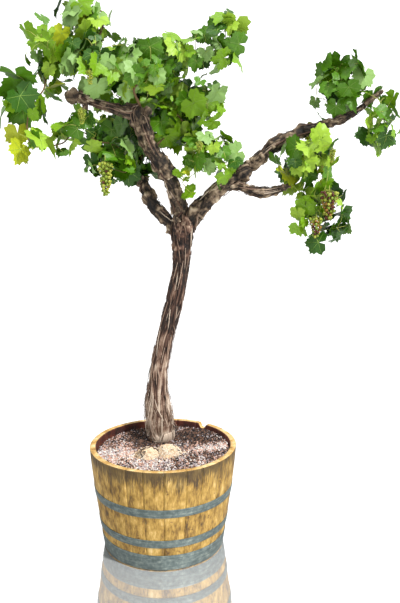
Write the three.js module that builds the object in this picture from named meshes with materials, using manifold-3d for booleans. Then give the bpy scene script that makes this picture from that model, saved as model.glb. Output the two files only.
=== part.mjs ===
// An old grapevine trained as a small standard tree, growing in half an oak wine cask.
//
// Millimetres, +Z up. The origin is the middle of the cask's flat underside, on the floor, and the
// front of the cask faces -Y. The vine's trunk leans up from the soil to a swollen head, where four
// gnarled boughs part; the leaves are one closed solid for each mass of the crown.

import * as THREE from 'three';
import { mergeVertices } from 'three/addons/utils/BufferGeometryUtils.js';
import Module from 'manifold-3d';

// Clearance between pieces that touch.
const GAP = 0.3;

// The cask: half of a 225 litre barrel, sawn through at its widest, so its mouth is its bilge.
const CASK_HEIGHT = 486;
const MOUTH_RADIUS = 345;
const FOOT_RADIUS = 282;
const BULGE = 1.25;
const STAVE_COUNT = 24;
const STAVE_THICKNESS = 27;
const STAVE_UNEVENNESS = 0.16;
const STAVE_LEVELS = 3;
const BOTTOM_THICKNESS = 24;
const HOOP_THICKNESS = 2.5;
const HOOP_SLACK = 0.9;
const HOOP_SIDES = 40;
const HOOPS = [
  { name: 'hoop_foot', from: 4, to: 80 },
  { name: 'hoop_quarter', from: 119, to: 157 },
  { name: 'hoop_upper', from: 270, to: 309 },
];
// A broken bite in the mouth's back right edge.
const BITE_BEARING = THREE.MathUtils.degToRad(51.0);
const BITE_WIDTH = 36;
const BITE_DEPTH = 20;

// The soil: its mean level, its slope up to the right and back, and a mound in the right back.
const SOIL_LEVEL = 450;
const SOIL_SLOPE_X = 0.035;
const SOIL_SLOPE_Y = 0.014;
const SOIL_FALL = 20;
const MOUND = { x: 215, y: 150, spread: 85, height: 10 };
const SOIL_SIDES = 24;
const SOIL_RINGS = 4;

// Limbs. Each grows on another limb, at a share of its length, and runs to its tip. It bows away from the
// straight line between the two, and sways off it one way in its first half and the other in its second.
// Its radius tapers, and swells at its knots.
const TRUNK_SIDES = 10;
const LIMB_SIDES = 7;
const FLARE = 0.12;
const KNOT_SPREAD = 0.08;
const BLUNTNESS = 0.65;
const TRUNK_FOOT = [0, 150, 425];
const LIMBS = [
  { name: 'trunk', tip: [100, 95, 1560], bow: [-30, 0, 0], sway: [-30, 0, 0], radius: [44, 38],
    knots: [{ at: 0.12, swell: 24, spread: 0.14 }, { at: 0.94, swell: 20 }],
    sides: TRUNK_SIDES, rings: 16, flare: FLARE, colour: 0x6b5040 },
  { name: 'bough_middle_lower', on: 'trunk', at: 0.97, tip: [30, 50, 1745], bow: [5, 0, 0],
    radius: [42, 32], rings: 8, colour: 0x5c4638 },
  { name: 'bough_middle_upper', on: 'bough_middle_lower', at: 0.98, tip: [-105, -10, 2020],
    bow: [-20, 0, 0], radius: [36, 38], knots: [{ at: 0.14, swell: 6 }, { at: 0.86, swell: 6 }],
    rings: 12, colour: 0x55402f },
  { name: 'arm_left', on: 'bough_middle_upper', at: 0.93, tip: [-365, -65, 2065], bow: [0, 0, -10],
    radius: [28, 14], knots: [{ at: 0.12, swell: 5 }, { at: 0.88, swell: 17 }], rings: 12,
    colour: 0x5c4638 },
  { name: 'bough_left', on: 'trunk', at: 0.93, tip: [-85, 190, 1730], bow: [-35, -10, -15],
    radius: [34, 26], knots: [{ at: 0.7, swell: 6 }], rings: 9, colour: 0x5c4638 },
  { name: 'bough_right_inner', on: 'trunk', at: 0.94, tip: [410, 55, 1765], bow: [0, 0, 35],
    radius: [42, 34], knots: [{ at: 0.25, swell: 4 }, { at: 0.92, swell: 7 }], rings: 12,
    colour: 0x6b5040 },
  { name: 'bough_right_outer', on: 'bough_right_inner', at: 0.94, tip: [970, -55, 2095],
    bow: [0, 0, 15], sway: [0, 0, 30], radius: [31, 8],
    knots: [{ at: 0.27, swell: 8 }, { at: 0.46, swell: 12 }, { at: 0.7, swell: 8 }], rings: 20,
    colour: 0x5c4638 },
  { name: 'bough_right_lower', on: 'bough_right_inner', at: 0.74, tip: [575, -40, 1690],
    bow: [0, 0, -40], radius: [26, 15], knots: [{ at: 0.6, swell: 4 }], rings: 10, colour: 0x6b5040 },
];
// Stubs of pruned wood: where each stands on its limb, and how far it reaches.
const SPURS = {
  bough_middle_upper: { at: 0.93, reach: [50, -15, 30], radius: 16 },
  arm_left: { at: 0.8, reach: [0, -10, -50], radius: 11 },
};

// Masses of leaves. Each is carried by a cane that leaves a limb at a share of its length and reaches so
// far right, back and up. Masses come in a few sizes, as half their mean width, and a few shapes.
const LEAF_GREEN = 0x6f9a3a;
const SHADE_GREEN = 0x3f6b2c;
const MASS_DETAIL = 2;
const SMALL_MASS_DETAIL = 1;
const SMALL_REACH = 100;
const MASS_SQUARENESS = 2.5;
const MASS_UNEVENNESS = 0.17;
const SIZES = { small: 75, middle: 105, large: 130, great: 210 };
const SHAPES = {
  round: [1, 1, 1],
  wide: [1.12, 0.95, 0.8],
  tall: [0.8, 0.9, 1.2],
  curtain: [1.1, 0.8, 1.15],
  backdrop: [1.15, 0.65, 0.95],
};
const MASSES = [
  { name: 'leaves_far_left', on: 'arm_left', cane: [-200, -20, -40], size: 'middle', shape: 'wide' },
  { name: 'leaves_low_left', on: 'arm_left', cane: [-170, -30, -195], size: 'small', shape: 'wide' },
  { name: 'leaves_upper_left', on: 'arm_left', cane: [-80, 70, 180], size: 'large', shape: 'round' },
  { name: 'leaves_hanging_left', on: 'arm_left', cane: [-130, 40, 30], size: 'middle', shape: 'tall' },
  { name: 'leaves_top', on: 'arm_left', cane: [50, 110, 290], size: 'large', shape: 'round' },
  { name: 'leaves_above_arm', on: 'arm_left', cane: [70, -20, 110], size: 'large', shape: 'wide' },
  { name: 'leaves_under_arm', on: 'arm_left', cane: [20, 20, -160], size: 'large', shape: 'wide' },
  { name: 'leaves_over_grapes', on: 'arm_left', cane: [145, 65, -265], size: 'middle', shape: 'round' },
  { name: 'leaves_crown_middle', on: 'bough_middle_upper', cane: [-10, -20, 200], size: 'middle',
    shape: 'round' },
  { name: 'leaves_crown_front', on: 'bough_middle_upper', cane: [10, -120, 85], size: 'middle',
    shape: 'wide' },
  { name: 'leaves_crown_right', on: 'bough_middle_upper', cane: [140, 50, 180], size: 'middle',
    shape: 'tall' },
  { name: 'leaves_right_shoot', on: 'bough_middle_upper', cane: [270, 20, 240], size: 'middle',
    shape: 'tall' },
  { name: 'leaves_right_top', on: 'bough_middle_upper', cane: [400, 0, 275], size: 'middle',
    shape: 'tall' },
  { name: 'leaves_inner_right', on: 'bough_middle_upper', cane: [175, 100, -50], size: 'large',
    shape: 'curtain' },
  { name: 'leaves_right_side', on: 'bough_middle_upper', cane: [310, 10, 10], size: 'middle',
    shape: 'tall' },
  { name: 'leaves_right_low', on: 'bough_right_inner', at: 0.5, cane: [-20, -60, 170], size: 'large',
    shape: 'round' },
  { name: 'leaves_before_fork', on: 'bough_right_inner', at: 0.1, cane: [-5, -105, 160], size: 'small',
    shape: 'round' },
  { name: 'leaves_behind_boughs', on: 'bough_left', cane: [-30, 35, 120], size: 'large', shape: 'tall',
    shade: true },
  { name: 'leaves_back_of_crown', on: 'bough_left', cane: [-85, 140, 380], size: 'great',
    shape: 'backdrop', shade: true },
  { name: 'leaves_over_right_bough', on: 'bough_right_outer', at: 0.7, cane: [-20, 10, 130],
    size: 'large', shape: 'round' },
  { name: 'leaves_right_tip', on: 'bough_right_outer', cane: [-20, -5, -135], size: 'large',
    shape: 'tall' },
  { name: 'leaves_under_right_bough', on: 'bough_right_outer', at: 0.45, cane: [20, -20, -120],
    size: 'large', shape: 'round' },
  { name: 'leaves_right_hanging', on: 'bough_right_lower', cane: [120, -10, -120], size: 'large',
    shape: 'curtain' },
];

const wasm = await Module();
wasm.setup();

// A repeatable stream of numbers from 0 to 1.
function randomStream(seed) {
  let state = seed;
  return () => {
    state = (state * 1664525 + 1013904223) % 4294967296;
    return state / 4294967296;
  };
}

// Moves every corner of a closed three.js shape to the place that the rule gives it.
function reshaped(geometry, rule) {
  geometry.deleteAttribute('normal');
  geometry.deleteAttribute('uv');
  const merged = mergeVertices(geometry, 1e-5);
  const position = merged.attributes.position;
  const corner = new THREE.Vector3();
  for (let i = 0; i < position.count; i += 1) {
    corner.fromBufferAttribute(position, i);
    const placed = rule(corner);
    position.setXYZ(i, placed.x, placed.y, placed.z);
  }
  return merged;
}

function toSolid(geometry) {
  return new wasm.Manifold(new wasm.Mesh({
    numProp: 3,
    vertProperties: new Float32Array(geometry.attributes.position.array),
    triVerts: new Uint32Array(geometry.index.array),
  }));
}

function toGeometry(solid) {
  const mesh = solid.getMesh();
  const geometry = new THREE.BufferGeometry();
  geometry.setAttribute('position', new THREE.BufferAttribute(mesh.vertProperties, 3));
  geometry.setIndex(new THREE.BufferAttribute(mesh.triVerts, 1));
  geometry.computeVertexNormals();
  return geometry;
}

// The largest body of a solid that has been cut, without the slivers.
function largest(solid) {
  return solid.decompose().reduce((best, body) => (body.volume() > best.volume() ? body : best));
}

function named(name, solid, colour, roughness, metalness = 0) {
  const material = new THREE.MeshStandardMaterial({ color: colour, roughness, metalness });
  const mesh = new THREE.Mesh(toGeometry(solid), material);
  mesh.name = name;
  return mesh;
}

// The cask's outer radius: it swells quickly above the foot and runs upright at the mouth.
function caskRadius(z) {
  return FOOT_RADIUS + (MOUTH_RADIUS - FOOT_RADIUS) * (1 - (1 - z / CASK_HEIGHT) ** BULGE);
}

function onCircle(bearing, radius, z) {
  return new THREE.Vector3(radius * Math.cos(bearing), radius * Math.sin(bearing), z);
}

// Where one stave meets the next, as bearings round the cask. Staves differ a little in width.
function staveEdges() {
  const random = randomStream(7);
  const pitch = (2 * Math.PI) / STAVE_COUNT;
  const edges = [];
  for (let i = 0; i < STAVE_COUNT; i += 1) {
    edges.push((i + STAVE_UNEVENNESS * (random() - 0.5) * 2) * pitch);
  }
  edges.push(edges[0] + 2 * Math.PI);
  return edges;
}

// One stave: a bent board between two bearings.
function stave(from, to) {
  const box = new THREE.BoxGeometry(1, 1, 1, 2, 1, STAVE_LEVELS);
  const clear = GAP / 2 / FOOT_RADIUS;
  return toSolid(reshaped(box, ({ x, y, z }) => {
    const height = (z + 0.5) * CASK_HEIGHT;
    const bearing = THREE.MathUtils.lerp(to - clear, from + clear, x + 0.5);
    return onCircle(bearing, caskRadius(height) - STAVE_THICKNESS * (0.5 - y), height);
  }));
}

// The wedge of wood that has broken out of the mouth.
function bite() {
  const middle = onCircle(BITE_BEARING, MOUTH_RADIUS, CASK_HEIGHT);
  const wedge = new THREE.CylinderGeometry(BITE_WIDTH * 0.62, BITE_WIDTH * 0.36, BITE_DEPTH * 2, 7);
  return toSolid(reshaped(wedge, ({ x, y, z }) => {
    const tall = new THREE.Vector3(x * 3, z, y).applyAxisAngle(new THREE.Vector3(0, 0, 1), BITE_BEARING);
    return new THREE.Vector3(tall.x, tall.y, -tall.z).add(middle);
  }));
}

function hoop({ from, to }) {
  const fit = 1 / Math.cos(Math.PI / HOOP_SIDES);
  const inside = (z) => caskRadius(z) * fit + GAP + HOOP_SLACK;
  const profile = [
    [inside(from), from], [inside(from) + HOOP_THICKNESS, from],
    [inside(to) + HOOP_THICKNESS, to], [inside(to), to], [inside(from), from],
  ];
  return turned(profile, HOOP_SIDES);
}

// A closed profile of [radius, height] carried round the Z axis.
function turned(profile, sides) {
  const lathe = new THREE.LatheGeometry(profile.map(([r, z]) => new THREE.Vector2(r, z)), sides);
  return toSolid(reshaped(lathe, ({ x, y, z }) => new THREE.Vector3(x, -z, y)));
}

// The clear radius inside the staves, allowing for their flat inner faces.
function insideRadius(z) {
  const half = (Math.PI / STAVE_COUNT) * (0.5 + STAVE_UNEVENNESS);
  const lift = CASK_HEIGHT / STAVE_LEVELS;
  const below = Math.floor(z / lift) * lift;
  const board = THREE.MathUtils.lerp(caskRadius(below), caskRadius(below + lift), (z - below) / lift);
  return (board - STAVE_THICKNESS) * Math.cos(half) - 2 * GAP;
}

function caskBottom() {
  const profile = [
    [0, 0], [insideRadius(0), 0], [insideRadius(0), BOTTOM_THICKNESS], [0, BOTTOM_THICKNESS],
  ];
  return turned(profile, HOOP_SIDES);
}

function soilLevel(x, y) {
  const fromMound = Math.hypot(x - MOUND.x, y - MOUND.y) / MOUND.spread;
  const ripple = 2.5 * Math.sin(x / 47 + 1) * Math.cos(y / 39);
  const mound = MOUND.height * Math.exp(-(fromMound ** 2));
  return SOIL_LEVEL + SOIL_SLOPE_X * x + SOIL_SLOPE_Y * y + ripple + mound;
}

function soil() {
  const profile = [[0, BOTTOM_THICKNESS + GAP]];
  const lift = CASK_HEIGHT / STAVE_LEVELS;
  profile.push([insideRadius(0), BOTTOM_THICKNESS + GAP]);
  for (let level = 1; level * lift < SOIL_LEVEL; level += 1) {
    profile.push([insideRadius(level * lift), level * lift]);
  }
  for (let ring = SOIL_RINGS; ring >= 0; ring -= 1) {
    profile.push([(insideRadius(SOIL_LEVEL - SOIL_FALL) * ring) / SOIL_RINGS, SOIL_LEVEL]);
  }
  const lathe = new THREE.LatheGeometry(profile.map(([r, z]) => new THREE.Vector2(r, z)), SOIL_SIDES);
  return toSolid(reshaped(lathe, ({ x, y, z }) => {
    const top = y > SOIL_LEVEL - 1;
    return new THREE.Vector3(x, -z, top ? soilLevel(x, -z) : y);
  }));
}

// The middle line of a limb, which has its bow in full at the middle and its sway at each quarter.
class LimbLine extends THREE.Curve {
  constructor(root, { tip, bow = [0, 0, 0], sway = [0, 0, 0] }) {
    super();
    this.root = root;
    this.tip = new THREE.Vector3(...tip);
    this.bow = new THREE.Vector3(...bow);
    this.sway = new THREE.Vector3(...sway);
  }

  getPoint(t, target = new THREE.Vector3()) {
    return target.copy(this.root).lerp(this.tip, t)
      .addScaledVector(this.bow, Math.sin(Math.PI * t))
      .addScaledVector(this.sway, Math.sin(2 * Math.PI * t));
  }
}

// The middle line of each limb by its name. A limb comes after the one that it grows on.
function limbLines() {
  const lines = {};
  LIMBS.forEach((size) => {
    const root = size.on ? lines[size.on].getPointAt(size.at) : new THREE.Vector3(...TRUNK_FOOT);
    lines[size.name] = new LimbLine(root, size);
  });
  return lines;
}

function radiusAt({ radius: [start, end], knots = [] }, u) {
  const swelling = knots.map(({ at, swell, spread = KNOT_SPREAD }) => (
    swell * Math.exp(-(((u - at) / spread) ** 2))));
  const taper = THREE.MathUtils.lerp(start, end, u) * (u === 1 ? BLUNTNESS : 1);
  return taper + swelling.reduce((sum, swell) => sum + swell, 0);
}

// A tapering limb along its line, thicker by grow all round.
function limb(line, size, grow = 0) {
  const { rings, sides = LIMB_SIDES, flare = 0 } = size;
  const frames = line.computeFrenetFrames(rings);
  const rod = new THREE.CylinderGeometry(1, 1, 1, sides, rings);
  return toSolid(reshaped(rod, ({ x, y, z }) => {
    const u = THREE.MathUtils.clamp(y + 0.5, 0, 1);
    const ring = Math.round(u * rings);
    const lobes = 1 + flare * Math.exp(-5 * u) * Math.cos(4 * Math.atan2(z, x));
    const radius = radiusAt(size, ring / rings) * lobes + grow;
    const past = (Number(ring === rings) - Number(ring === 0)) * grow;
    return line.getPointAt(ring / rings)
      .addScaledVector(frames.tangents[ring], past)
      .addScaledVector(frames.normals[ring], x * radius)
      .addScaledVector(frames.binormals[ring], -z * radius);
  }));
}

// A short tapering stub of old wood.
function spur(line, { at, reach, radius }, grow = 0) {
  const root = line.getPointAt(at);
  const tip = root.clone().add(new THREE.Vector3(...reach)).toArray();
  return limb(new LimbLine(root, { tip }), { radius: [radius, radius * 0.7], rings: 2, sides: 6 }, grow);
}

// One closed, uneven mass of leaves that just fills its box.
function leafMass(at, reach, seed) {
  const random = randomStream(seed * 977 + 13);
  const waves = Array.from({ length: 4 }, (_, k) => ({
    axis: new THREE.Vector3(random() - 0.5, random() - 0.5, random() - 0.5).normalize(),
    pitch: 2.2 + k,
    start: random() * Math.PI * 2,
  }));
  const detail = reach[0] < SMALL_REACH && reach[2] < SMALL_REACH ? SMALL_MASS_DETAIL : MASS_DETAIL;
  const ball = reshaped(new THREE.IcosahedronGeometry(1, detail), (point) => {
    const power = MASS_SQUARENESS;
    const fullness = (Math.abs(point.x) ** power + Math.abs(point.y) ** power + Math.abs(point.z) ** power);
    const swell = waves.reduce((sum, w) => sum + Math.sin(point.dot(w.axis) * w.pitch + w.start), 0);
    return point.clone().multiplyScalar(fullness ** (-1 / power) * (1 + (MASS_UNEVENNESS * swell) / 2));
  });
  ball.computeBoundingBox();
  const middle = ball.boundingBox.getCenter(new THREE.Vector3());
  const half = ball.boundingBox.getSize(new THREE.Vector3()).multiplyScalar(0.5);
  return reshaped(ball, (point) => point.clone().sub(middle).divide(half)
    .multiply(new THREE.Vector3(...reach)).add(at));
}

// The same mass, a little larger, to cut its neighbours clear of it.
function grownMass(geometry, middle) {
  return toSolid(reshaped(geometry.clone(), (point) => {
    const out = point.clone().sub(middle);
    return point.clone().addScaledVector(out, (3 * GAP) / out.length());
  }));
}

const vine = new THREE.Group();

const edges = staveEdges();
const broken = bite();
for (let i = 0; i < STAVE_COUNT; i += 1) {
  const board = largest(stave(edges[i], edges[i + 1]).subtract(broken));
  vine.add(named(`stave_${String(i + 1).padStart(2, '0')}`, board, 0xc09a55, 0.75));
}
for (const size of HOOPS) {
  vine.add(named(size.name, hoop(size), 0x8b979b, 0.45, 0.9));
}
vine.add(named('cask_bottom', caskBottom(), 0x9a7a48, 0.8));

// Limbs, each cut clear of those that it grows from.
const flatCut = toSolid(reshaped(new THREE.BoxGeometry(400, 400, 100), ({ x, y, z }) => (
  new THREE.Vector3(x, y + 150, z + SOIL_LEVEL - 50))));
const lines = limbLines();
let wood = null;
const limbMeshes = [];
for (const size of LIMBS) {
  const line = lines[size.name];
  const stub = SPURS[size.name];
  let body = limb(line, size);
  let room = limb(line, size, GAP * 1.5);
  if (stub) {
    body = body.add(spur(line, stub));
    room = room.add(spur(line, stub, GAP * 1.5));
  }
  if (wood) {
    body = body.subtract(wood);
  } else {
    body = body.subtract(flatCut);
  }
  wood = wood ? wood.add(room) : room;
  limbMeshes.push(named(size.name, largest(body), size.colour, 0.9));
}
vine.add(named('soil', soil().subtract(wood), 0x6f6360, 0.95));
limbMeshes.forEach((mesh) => vine.add(mesh));

// Masses, each cut clear of the limbs and of the masses before it.
let taken = wood;
MASSES.forEach(({ name, on, at = 1, cane, size, shape, shade }, index) => {
  const middle = lines[on].getPointAt(at).add(new THREE.Vector3(...cane));
  const reach = SHAPES[shape].map((share) => share * SIZES[size]);
  const geometry = leafMass(middle, reach, index + 1);
  const mass = largest(toSolid(geometry).subtract(taken));
  taken = taken.add(grownMass(geometry, middle));
  vine.add(named(name, mass, shade ? SHADE_GREEN : LEAF_GREEN, 0.6));
});

export default vine;
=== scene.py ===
"""An old grapevine, trained as a small gnarled tree in half an oak wine cask.

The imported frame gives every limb, mass of leaves, board and hoop its place. Each piece here is a surface
worked out round one of them. Lengths are in metres, angles in radians."""

import zlib

import bpy
import numpy as np
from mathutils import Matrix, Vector
from mathutils.bvhtree import BVHTree


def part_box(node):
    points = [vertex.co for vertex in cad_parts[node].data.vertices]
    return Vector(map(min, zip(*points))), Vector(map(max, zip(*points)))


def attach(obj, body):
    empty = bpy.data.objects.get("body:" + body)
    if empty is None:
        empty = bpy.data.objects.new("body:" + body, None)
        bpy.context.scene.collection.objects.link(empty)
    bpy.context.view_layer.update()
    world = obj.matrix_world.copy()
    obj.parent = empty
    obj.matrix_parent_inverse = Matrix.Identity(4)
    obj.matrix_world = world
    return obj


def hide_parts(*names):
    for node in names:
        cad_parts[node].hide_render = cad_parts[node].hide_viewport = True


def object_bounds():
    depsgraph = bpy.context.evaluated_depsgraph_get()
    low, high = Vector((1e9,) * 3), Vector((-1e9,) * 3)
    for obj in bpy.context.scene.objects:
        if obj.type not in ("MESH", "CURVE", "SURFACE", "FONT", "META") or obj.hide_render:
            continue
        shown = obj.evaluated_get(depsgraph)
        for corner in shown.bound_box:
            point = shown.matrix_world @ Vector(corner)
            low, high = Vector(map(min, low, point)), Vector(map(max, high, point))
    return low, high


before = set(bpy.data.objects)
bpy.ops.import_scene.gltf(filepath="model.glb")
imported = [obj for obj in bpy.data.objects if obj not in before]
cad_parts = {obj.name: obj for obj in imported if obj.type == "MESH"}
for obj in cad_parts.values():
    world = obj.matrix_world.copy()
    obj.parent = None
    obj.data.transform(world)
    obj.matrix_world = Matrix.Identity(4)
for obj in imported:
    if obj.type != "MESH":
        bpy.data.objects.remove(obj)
CAD_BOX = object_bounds()

bl_info = {
    "name": "Potted grapevine",
    "version": (1, 0, 0),
    "blender": (4, 5, 0),
    "location": "3D View > Sidebar > Grapevine",
    "description": "Builds an old grapevine in half a wine cask round its packed frame",
    "category": "Add Mesh",
}

BODY = "root"
STAVES = [name for name in sorted(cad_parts) if name.startswith("stave_")]
HOOPS = [name for name in sorted(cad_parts) if name.startswith("hoop_")]
MASSES = [name for name in sorted(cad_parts) if name.startswith("leaves_")]
DOWN = np.array([0.0, 0.0, -1.0])
TURN = 2 * np.pi

# Half of the wine cask: its belly is the mouth and its head is the foot.
CASK_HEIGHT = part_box(STAVES[0])[1].z
MOUTH_RADIUS = 0.345
FOOT_RADIUS = 0.282
BULGE = 1.25
STAVE_THICKNESS = 0.027
BITE_BEARING = np.radians(51.0)
BITE_WIDTH = 0.056
BITE_DEPTH = 0.022
SOIL_TOP = 0.45

# The two lumps of straw before the trunk: x, y and width, the straws in each, and how far crumbs scatter
# from them.
STRAW_LUMPS = ((-0.070, -0.055, 0.115), (0.022, -0.040, 0.120))
STRAWS = 260
CRUMB_SCATTER = (0.034, 0.026)
CRUMB_REACH = 0.055
CRUMB_RISE = 0.032

# The camera stands at eye height before the cask and looks 9 degrees down. Its picture is 36 mm along the
# longer side.
CAMERA_PLACE = (0, -2.90096, 1.62358)
CAMERA_TURN = (90 - 9.0106, 0, -3.4355)
CAMERA_LENS = 38.209
CAMERA_SENSOR = 36
FLOOR_HALF = 40.0
FLOOR_HEIGHT = -0.0005

# Each limb with the limb that it grows out of.
LIMBS = {
    "trunk": None,
    "bough_left": "trunk",
    "bough_middle_lower": "trunk",
    "bough_middle_upper": "bough_middle_lower",
    "arm_left": "bough_middle_upper",
    "bough_right_inner": "trunk",
    "bough_right_outer": "bough_right_inner",
    "bough_right_lower": "bough_right_inner",
}
TRUNK_FOOT = np.array([0.0, 0.15, 0.0])
JOINT_OVERLAP = 0.025
JOINT_TAPER = (0.5, 0.8, 0.93)
CUT_SPACING = 0.02

# Stubs left by pruning: limb, share of its length, reach from its middle line, radius.
STUBS = (
    ("bough_middle_upper", 0.88, (0.052, -0.014, 0.042), 0.017),
    ("arm_left", 0.80, (-0.004, -0.008, -0.052), 0.012),
    ("bough_right_outer", 0.86, (0.055, -0.014, 0.044), 0.008),
    ("arm_left", 0.93, (-0.030, -0.014, -0.014), 0.026),
    ("bough_left", 0.90, (-0.030, -0.020, -0.004), 0.013),
)


def seeded(name):
    """A random generator of its own for each piece, so that one piece's draws leave the others' alone."""
    return np.random.default_rng(zlib.crc32(name.encode()))


def linear(code):
    """A colour given as sRGB hex, as linear red, green, blue and alpha."""
    srgb = np.array([int(code[i : i + 2], 16) for i in (1, 3, 5)]) / 255
    low, high = srgb / 12.92, ((srgb + 0.055) / 1.055) ** 2.4
    return (*(float(v) for v in np.where(srgb <= 0.04045, low, high)), 1.0)


def unit(vectors):
    """Vectors divided by their length."""
    vectors = np.asarray(vectors, float)
    return vectors / np.maximum(np.linalg.norm(vectors, axis=-1, keepdims=True), 1e-9)


def ease(low, high, value):
    """The smooth step 3t^2 - 2t^3 of value's place t between low and high."""
    t = np.clip((value - low) / (high - low), 0, 1)
    return t * t * (3 - 2 * t)


def noise(points, seed=0):
    """Smooth value noise from -1 to 1. Each corner of the unit cell that holds a point has a hashed
    value, and these are blended by the smooth step of the point's place in the cell."""
    cell = np.floor(points).astype(np.int64)
    part = points - cell
    part = part * part * (3 - 2 * part)
    total = np.zeros(points.shape[:-1])
    for corner in np.ndindex(2, 2, 2):
        at = cell + corner
        mixed = at[..., 0] * 73856093 ^ at[..., 1] * 19349663 ^ at[..., 2] * 83492791 ^ seed * 26544357
        mixed = ((mixed ^ (mixed >> 13)) * 1274126177) & 0xFFFFFFFF
        value = ((mixed ^ (mixed >> 15)) & 0xFFFF) / 32767.5 - 1
        total += value * np.prod(np.where(corner, part, 1 - part), axis=-1)
    return total


def round_noise(angle, along, cells, length, seed=0):
    """Noise on the skin of a tube: the angle goes round a circle that is the given number of cells long,
    so that it closes on itself, and the distance along is counted in cells of the given length."""
    radius = cells / TURN
    places = np.stack([np.cos(angle) * radius, np.sin(angle) * radius, along / length], -1)
    return noise(places, seed)


# Meshes


def grid_faces(rows, columns, closed=True):
    """The quads of a grid of rows by columns of points. A closed one joins its last column to its first."""
    row = np.arange(rows - 1)[:, None]
    column = np.arange(columns if closed else columns - 1)[None, :]
    beside = (column + 1) % columns
    corners = [row * columns + column, row * columns + beside]
    corners += [corners[1] + columns, corners[0] + columns]
    return np.stack(corners, -1).reshape(-1, 4)


def fan_faces(first, count, pole, outward=True):
    """The triangles that close a ring of count points, from the index first on, at the point pole."""
    ring = first + np.arange(count)
    beside = first + (np.arange(count) + 1) % count
    middle = np.full(count, pole)
    return np.stack([ring, beside, middle] if outward else [beside, ring, middle], -1)


def repeated(faces, copies, points):
    """The same faces for each of a number of copies that follow each other with so many points."""
    return (faces[None] + (np.arange(copies) * points)[:, None, None]).reshape(-1, faces.shape[1])


def build(name, points, faces, materials, shades=None, marks=None, smooth=True):
    """Makes a piece. faces is a list of index arrays, one for each count of corners. shades gives each
    face's material, and marks is a dictionary of numbers that the material reads at each point."""
    points = np.asarray(points, np.float32).reshape(-1, 3)
    faces = [np.asarray(group, np.int32) for group in faces if len(group)]
    counts = np.concatenate([np.full(len(group), group.shape[1]) for group in faces])
    corners = np.concatenate([group.ravel() for group in faces])
    mesh = bpy.data.meshes.new(name)
    mesh.vertices.add(len(points))
    mesh.vertices.foreach_set("co", points.ravel())
    mesh.loops.add(len(corners))
    mesh.loops.foreach_set("vertex_index", corners.astype(np.int32))
    mesh.polygons.add(len(counts))
    starts = np.concatenate([[0], np.cumsum(counts)[:-1]])
    mesh.polygons.foreach_set("loop_start", starts.astype(np.int32))
    for material in materials:
        mesh.materials.append(material)
    if shades is not None:
        mesh.polygons.foreach_set("material_index", np.asarray(shades, np.int32))
    for label, values in (marks or {}).items():
        layer = mesh.attributes.new(label, "FLOAT", "POINT")
        layer.data.foreach_set("value", np.asarray(values, np.float32).ravel())
    mesh.polygons.foreach_set("use_smooth", np.full(len(counts), smooth))
    mesh.update(calc_edges=True)
    mesh.validate()
    piece = bpy.data.objects.new(name, mesh)
    bpy.context.collection.objects.link(piece)
    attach(piece, BODY)
    return piece


class Heap:
    """Gathers many small surfaces, to make one joined piece of them."""

    def __init__(self):
        self.points, self.faces, self.shades, self.marks = [], {}, {}, []
        self.count = 0

    def add(self, points, faces, shade=0, mark=0.0):
        """Adds points, with index arrays of their own faces. The shade is the faces' material slot, or a
        list with each array's own slots."""
        points = np.asarray(points, float).reshape(-1, 3)
        self.points.append(points)
        self.marks.append(np.broadcast_to(mark, len(points)))
        for group, own in zip(faces, shade if isinstance(shade, list) else [shade] * len(faces)):
            key = group.shape[1]
            self.faces.setdefault(key, []).append(group + self.count)
            self.shades.setdefault(key, []).append(np.broadcast_to(own, len(group)))
        self.count += len(points)

    def piece(self, name, materials):
        """The joined piece."""
        faces = [np.concatenate(groups) for groups in self.faces.values()]
        shades = np.concatenate([np.concatenate(groups) for groups in self.shades.values()])
        marks = {"tone": np.concatenate(self.marks)}
        return build(name, np.concatenate(self.points), faces, materials, shades, marks)


def smooth_path(stations, spacing):
    """Points at even spacing on the Catmull-Rom curve through stations, which may have further columns
    such as a radius. Between stations 1 and 2 the curve is the cubic that leaves and reaches them in the
    direction from station 0 to 2 and from 1 to 3."""
    stations = np.asarray(stations, float)
    ends = [2 * stations[0] - stations[1], 2 * stations[-1] - stations[-2]]
    held = np.vstack([ends[0], stations, ends[1]])
    t = np.linspace(0, 1, 16, endpoint=False)[None, :, None]
    a, b, c, d = (held[i : len(held) - 3 + i][:, None] for i in range(4))
    curve = b + 0.5 * t * (c - a + t * (2 * a - 5 * b + 4 * c - d + t * (3 * (b - c) + d - a)))
    curve = np.vstack([curve.reshape(-1, stations.shape[1]), stations[-1]])
    along = np.concatenate([[0], np.cumsum(np.linalg.norm(np.diff(curve[:, :3], axis=0), axis=1))])
    wanted = np.linspace(0, along[-1], max(int(np.ceil(along[-1] / spacing)), 2) + 1)
    return np.stack([np.interp(wanted, along, column) for column in curve.T], -1)


def frames_along(path):
    """Across and up directions at each point of a path, square to it. Up is the axis that the path's
    chord is furthest from, less its share along the path."""
    ahead = unit(np.gradient(path, axis=0))
    chord = np.abs(path[-1] - path[0])
    reference = np.eye(3)[np.argmin(chord)]
    across = unit(np.cross(ahead, reference))
    return ahead, across, np.cross(across, ahead)


def tube(heap, path, radii, sides, shade=0, mark=0.0):
    """A round bar along a path: each ring is centre + radius (across cos a + up sin a), closed at both
    ends by a pole."""
    path = np.asarray(path, float)
    _, across, up = frames_along(path)
    angle = np.arange(sides) / sides * TURN
    ring = across[:, None] * np.cos(angle)[:, None] + up[:, None] * np.sin(angle)[:, None]
    skin = path[:, None] + ring * np.broadcast_to(radii, len(path))[:, None, None]
    rows = len(path)
    points = np.vstack([skin.reshape(-1, 3), path[0], path[-1]])
    quads = grid_faces(rows, sides)[:, ::-1]
    low = fan_faces(0, sides, rows * sides)
    high = fan_faces((rows - 1) * sides, sides, rows * sides + 1, False)
    heap.add(points, [quads, np.vstack([low, high])], shade, mark)


# The frame's solids


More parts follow.
